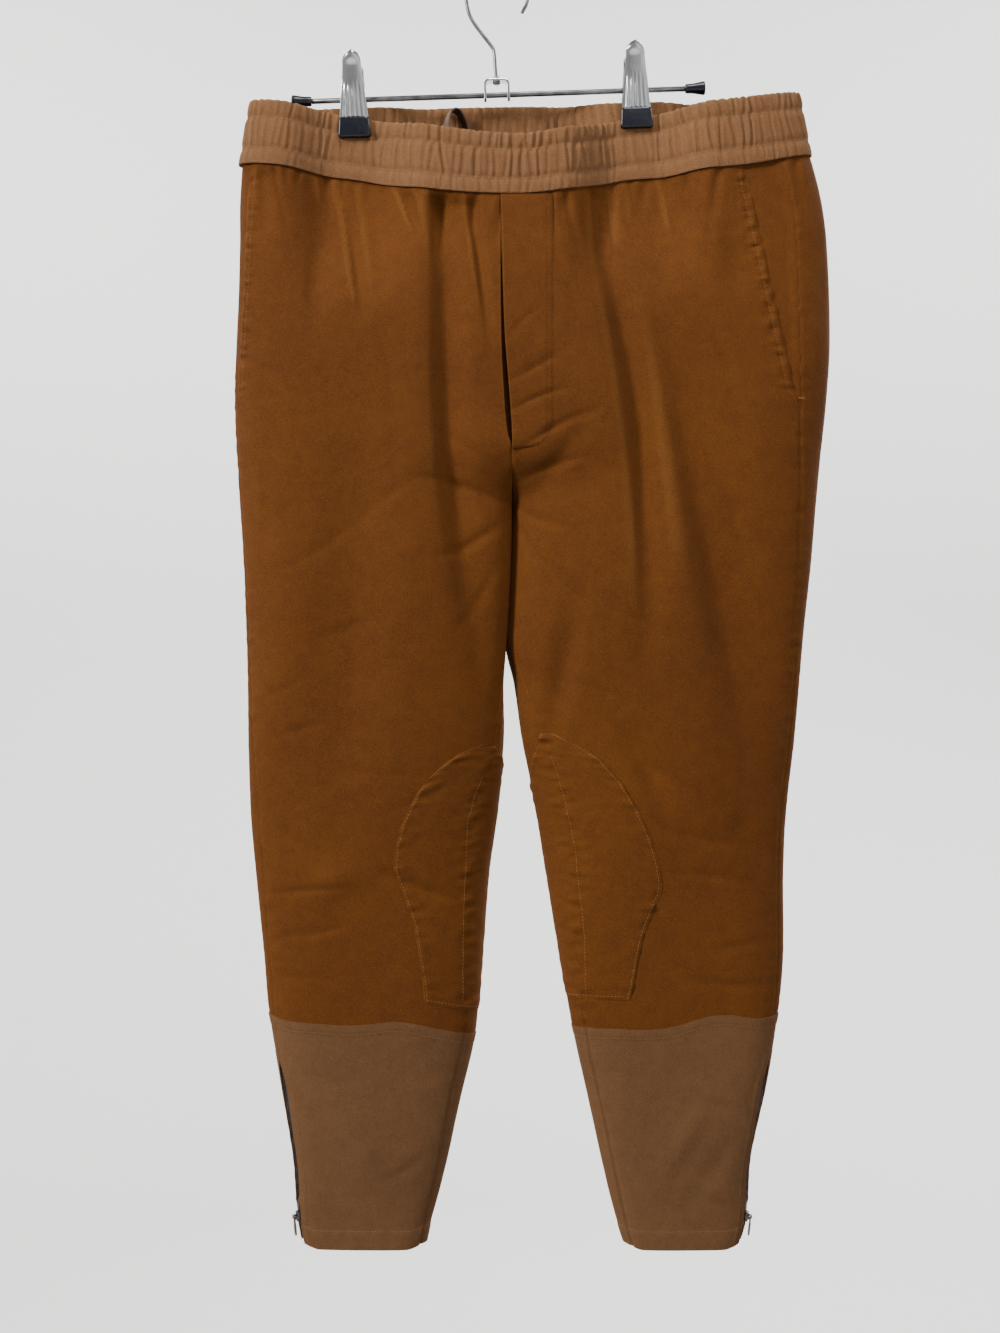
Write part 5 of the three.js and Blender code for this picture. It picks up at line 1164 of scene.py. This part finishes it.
# ---------------------------------------------------------------------------
# The hanger's bar and end caps. A satin steel rod runs level through the clips,
# with a moulded black vinyl cap pushed on each end.
# ---------------------------------------------------------------------------
BAR_X, BAR_DROP, BAR_RADIUS, BAR_HALF, BAR_TILT = 1.3, 113.4, 2.25, 179, math.radians(-1.94)
STEEL = Finish("bar_steel", Metallic=1.0)
draw = STEEL.noise(0.6, 3, 0.6, (0.04, 1, 1))
dust = STEEL.noise(9, 3)
STEEL.set(Base_Color=STEEL.mixed((0.11, 0.11, 0.112), (0.19, 0.19, 0.192), dust.between(0.3, 0.7)))
STEEL.set(Roughness=0.26 + draw * 0.2)
STEEL.bumped(draw, 0.02, 0.4)
VINYL = Finish("black_vinyl", Specular_IOR_Level=0.3, Coat_Weight=0.3, Coat_Roughness=0.08)
skin = VINYL.noise(3, 3)
VINYL.set(Base_Color=VINYL.mixed((0.0012, 0.002, 0.0055), (0.003, 0.0045, 0.011), skin.between(0.3, 0.75)))
VINYL.set(Roughness=0.22 + skin * 0.18)
VINYL.bumped(VINYL.noise(1.3, 2), 0.04, 0.35)


def on_hanger(points, x=0.0):
    """Moves points from the bar's own frame, or a clip's, to the trousers' frame."""
    a, b, c = (np.asarray(points, float) + (x, 0, 0)).T
    cos, sin = math.cos(BAR_TILT), math.sin(BAR_TILT)
    return np.stack([BAR_X + a * cos + c * sin, b, -BAR_DROP - a * sin + c * cos], -1)


CAP_LENGTH, CAP_GRIP = 17.4, 12
# The radius of a cap at each distance from its open end.
CAP_PROFILE = [
    (0.05, 0.4), (3.1, 0.0), (3.6, 0.35), (3.95, 1.6), (4.05, 6.0), (4.6, 9.5), (5.2, 13.0),
    (5.6, 15.4), (5.6, 16.3), (5.2, 17.0), (4.4, CAP_LENGTH), (0.6, CAP_LENGTH),
]
sleeve = BAR_HALF - CAP_LENGTH
reach = sleeve + CAP_GRIP - 0.3
points, faces = rod((-reach, 0, 0), (reach, 0, 0), BAR_RADIUS, 32, 0.3)
piece("hanger_bar", on_hanger(points), faces, STEEL, replaces=["hanger_bar"], slot="bar_steel")
for side, sign in SIDES.items():
    name = f"end_cap_{side}"
    rings = [
        [(sign * (sleeve + along), radius * math.cos(a), radius * math.sin(a)) for a in circle(32)]
        for radius, along in CAP_PROFILE
    ]
    points, faces = ringed(rings)
    piece(name, on_hanger(points), faces, VINYL, replaces=[name], slot="black_rubber")

# ---------------------------------------------------------------------------
# The clips. Two fluted plates of chromed spring steel face each other on the bar,
# held by side ears and a coil spring, each with a dipped vinyl pad at its foot.
# ---------------------------------------------------------------------------
CHROME = Finish("chrome", Metallic=1.0)
smear = CHROME.noise(7, 3, 0.6)
CHROME.set(Base_Color=CHROME.mixed((0.5, 0.505, 0.515), (0.68, 0.685, 0.69), smear))
CHROME.set(Roughness=0.05 + smear * 0.1)
CHROME.bumped(CHROME.noise(4, 2), 0.02, 0.25)
PLATE_ROWS = rows_of("up half off flute", [
    (-17.1, 12.4, 7.4, 0.5), (-3, 10.8, 9.2, 0.5), (3, 10.4, 9.8, 0.35), (14, 9.2, 10.8, 0),
    (24, 8.2, 12.6, 0), (30, 8.0, 13.9, 0), (37, 7.6, 15.4, 0),
])
PLATE_CURL, PLATE_WALL, PLATE_FOOT, PLATE_TOP, PLATE_DOME = 2.2, 0.9, -17.1, 37, 7.8
EAR_AT = {"front": 9.9, "back": 8.7}
PAD_HALF, PAD_HALF_HIGH, PAD_MIDDLE = 13.6, 8.65, -26.05
# How far a pad is drawn in at each depth through it.
PAD_PROFILE = [(3.8, 0.8), (4.1, 0.25), (4.7, 0), (7.4, 0), (8.4, 0.35), (8.85, 0.9), (9.0, 1.7)]
COIL_TURNS, COIL_RADIUS, COIL_WIRE, COIL_HALF = 9, 3.5, 0.65, 7.5
for clip, clip_x in CLIP_X.items():
    for face, towards in (("front", -1), ("back", 1)):
        up = np.linspace(PLATE_FOOT, PLATE_TOP, 90)[:, None]
        u = np.linspace(-1, 1, 41)[None]
        over = np.clip((up - (PLATE_TOP - PLATE_DOME)) / PLATE_DOME, 0, 1)
        half = column(PLATE_ROWS, "half", up, "up") * np.sqrt(np.maximum(1 - over**2, 0.012))
        flute = column(PLATE_ROWS, "flute", up, "up") * np.cos(6 * np.pi * u) * (1 - u**6)
        dished = -0.9 * (1 - u**2) ** 2 * ease(up, 6, 16) * (1 - ease(up, 24, 31))
        knob = 0.9 * (1 - u**2) * ease(up, 25, 31) * (1 - ease(up, 33, PLATE_TOP))
        stand = column(PLATE_ROWS, "off", up, "up") - PLATE_CURL * u**2 + flute + dished + knob
        outer, inner = (
            np.stack([half * u, towards * (stand + wall), up + 0 * u], -1) for wall in (PLATE_WALL, 0)
        )
        ears = []
        for ear_x in (0.5 - EAR_AT[face], EAR_AT[face] - 0.5):
            outline = rounded(5.0, 5.0, 3.2, 6)
            ear = [[(ear_x + k, towards * (2.2 + b), c) for b, c in outline] for k in (0, 1.0)]
            ears.append(ringed(ear))
        points, faces = joined(shell(outer, inner), *ears)
        name = f"clip_{face}_{clip}"
        at = clip_x - BAR_X
        piece(name, on_hanger(points, at), faces, CHROME, replaces=[name], slot="chrome", crisp=60)
        pad = rounded(PAD_HALF, PAD_HALF_HIGH, 2.2, 7, lift=PAD_MIDDLE)
        pad = [(x * mix(14.2, 12.7, (z + 34.7) / 17.3) / PAD_HALF, z) for x, z in pad]
        rings = []
        for depth, inset in PAD_PROFILE:
            in_x, in_z = 1 - inset / PAD_HALF, 1 - inset / PAD_HALF_HIGH
            crown = 0.25 * (depth > 8.5)
            rings.append([
                (x * in_x, towards * (depth + crown * (1 - (x / 14) ** 2)), mix(PAD_MIDDLE, z, in_z))
                for x, z in pad
            ])
        points, faces = ringed(rings)
        name = f"clip_pad_{face}_{clip}"
        piece(name, on_hanger(points, at), faces, VINYL, replaces=[name], slot="black_rubber", crisp=70)
    wire = [(COIL_WIRE * math.cos(a), COIL_RADIUS + COIL_WIRE * math.sin(a)) for a in circle(8)]
    coil = []
    for share in np.linspace(0, 1, COIL_TURNS * 18 + 1):
        turn, x = 2 * math.pi * COIL_TURNS * share, mix(-COIL_HALF, COIL_HALF, share)
        coil.append([(x + a, r * math.cos(turn), r * math.sin(turn)) for a, r in wire])
    points, faces = ringed(coil)
    name = f"clip_spring_{clip}"
    piece(name, on_hanger(points, at), faces, STEEL, replaces=[name], slot="bar_steel")

# ---------------------------------------------------------------------------
# The hook. Chromed wire, bent to a round crook, turns in a strip of chromed steel
# that straddles the bar. A washer is upset on the wire above and below the strip.
# ---------------------------------------------------------------------------
HOOK_WIRE, HOOK_RADIUS = 1.65, 27.2
neck = [
    (-0.4, 103.6), (-1.5, 88.3), (-2.6, 75.3), (-6.1, 69.3), (-13.4, 59.9), (-20.6, 49.9), (-24.6, 41.4),
]
arc = np.arange(math.pi, math.radians(-40), -math.pi / 10)
route = [(x, -drop) for x, drop in neck]
route += [(HOOK_RADIUS * math.cos(a), HOOK_RADIUS * (math.sin(a) - 1) + HOOK_WIRE) for a in arc]
route = np.array(route)


def smooth_line(places, xs, zs, steps):
    """A smooth flat line through every point, given with its place along the line."""
    table = rows_of("at x z", zip(places, xs, zs))
    s = np.linspace(places[0], places[-1], steps)
    return np.stack([column(table, "x", s, "at"), column(table, "z", s, "at")], -1)


steps = np.sqrt(np.linalg.norm(np.diff(route, axis=0), axis=1))
line = smooth_line(np.concatenate([[0], np.cumsum(steps)]), *route.T, 150)
over = -sideways(line)
turns = circle(16)[:, None]
rings = [
    (x, 0, z) + HOOK_WIRE * (np.cos(turns) * (ox, 0, oz) + np.sin(turns) * (0, 1, 0))
    for (x, z), (ox, oz) in zip(line, over)
]
end, way = np.array([line[-1, 0], 0, line[-1, 1]]), np.array([-over[-1, 1], 0, over[-1, 0]])
rings += [end + way * d + (rings[-1] - end) * k for d, k in ((0.6, 0.9), (1.1, 0.62), (1.3, 0.25))]
YOKE_TOP = BAR_DROP - 13
washers = [
    rod((-0.4, 0, -drop - 1), (-0.4, 0, -drop + 1), 3.2, 28, 0.45)
    for drop in (YOKE_TOP - 1.4, YOKE_TOP + 2.7)
]
piece("hook", *joined(ringed(rings), *washers), STEEL, replaces=["hook"], slot="chrome", crisp=60)

YOKE_LINE = [
    (-10.15, -4), (-10.15, 4), (-10.15, 7.5), (-9.5, 10.4), (-7.6, 12), (-4.5, 12.35), (0, 12.35),
    (4.5, 12.35), (7.6, 12), (9.5, 10.4), (10.15, 7.5), (10.15, 4), (10.15, -4),
]
line = smooth_line(range(len(YOKE_LINE)), *zip(*YOKE_LINE), 97)
edge = [(-0.7, -1), (-1, -0.94), (-1, 0.94), (-0.7, 1), (0.7, 1), (1, 0.94), (1, -0.94), (0.7, -1)]
rings = [
    [(x + ox * a, 4 * b, z + oz * a) for a, b in edge]
    for (x, z), (ox, oz) in zip(line, sideways(line))
]
points, faces = ringed(rings)
piece("hook_yoke", on_hanger(points, -BAR_X), faces, CHROME, replaces=["hook_yoke"], slot="chrome")

# ---------------------------------------------------------------------------
# The stage: a pale studio sweep that turns up softly all round, and soft light
# from above and in front. None of it is part of the object.
# ---------------------------------------------------------------------------
FLOOR = -2.0
paper = Finish("paper_sweep", Roughness=0.95, Specular_IOR_Level=0.1)
grain = paper.noise(40, 3)
paper.set(Base_Color=paper.mixed((0.80, 0.80, 0.785), (0.815, 0.815, 0.80), grain))
bend = np.linspace(0, np.pi / 2, 13)
profile = [(0.05, 0), (1.2, 0), (2.4, 0)]
profile += [(2.4 + 1.6 * math.sin(a), 1.6 - 1.6 * math.cos(a)) for a in bend[1:]] + [(4.0, 5.5)]
rings = [[(r * math.cos(a), r * math.sin(a), FLOOR + z) for a in circle(64)] for r, z in profile]
points, faces = ringed(rings)
faces.pop()
sweep_mesh = bpy.data.meshes.new("floor_sweep")
sweep_mesh.from_pydata(points.tolist(), [], faces)
sweep_mesh.shade_smooth()
sweep_mesh.materials.append(paper.material)
sweep = bpy.data.objects.new("floor_sweep", sweep_mesh)
sweep.visible_diffuse = False
sweep.visible_shadow = False
bpy.context.scene.collection.objects.link(sweep)
sweep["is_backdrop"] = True

LAMPS = (
    ("key", (-5.9, -3.6, 2.6), 1.5, 800),
    ("high", (0.2, -0.8, 1.1), 0.7, 20),
    ("fill", (3.2, -4.2, 0.2), 2.0, 112),
    ("backdrop_left", (-1.7, 1.0, 1.5), 1.8, 134),
    ("backdrop_right", (1.7, 1.0, 1.5), 1.8, 140),
    ("behind", (2.0, 2.6, 0.9), 1.6, 120),
)
for name, place, size, power in LAMPS:
    light = bpy.data.lights.new(name, "AREA")
    light.shape, light.size, light.energy = "DISK", size, power
    lamp = bpy.data.objects.new(name, light)
    lamp.location = place
    aim = Vector((0, 4.0, -0.2) if name.startswith("backdrop") else (0, 0, -0.55)) - Vector(place)
    lamp.rotation_euler = aim.to_track_quat("-Z", "Y").to_euler()
    lamp.visible_camera = False
    bpy.context.scene.collection.objects.link(lamp)
world = bpy.data.worlds.new("studio")
world.use_nodes = True
world.node_tree.nodes["Background"].inputs["Color"].default_value = (0.96, 0.98, 1.0, 1)
world.node_tree.nodes["Background"].inputs["Strength"].default_value = 0.2
bpy.context.scene.world = world

# ---------------------------------------------------------------------------
# The camera stands level with the middle of the trousers and looks straight at
# their front. The picture is 1000 wide and 1333 high.
# ---------------------------------------------------------------------------
VIEW_DISTANCE, VIEW_HALF_HEIGHT = 1.2, 0.577
VIEW_X, VIEW_Z = 0.0026, -0.608
camera_data = bpy.data.cameras.new("camera")
camera_data.lens = camera_data.sensor_width / 2 * VIEW_DISTANCE / VIEW_HALF_HEIGHT
camera_data.dof.use_dof = False
camera = bpy.data.objects.new("camera", camera_data)
camera.location = (VIEW_X, -VIEW_DISTANCE, VIEW_Z)
camera.rotation_euler = (math.pi / 2, 0, 0)
bpy.context.scene.collection.objects.link(camera)
bpy.context.scene.camera = camera

size = {"cad": [list(c) for c in cad_box], "visual": [list(c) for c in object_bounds()]}
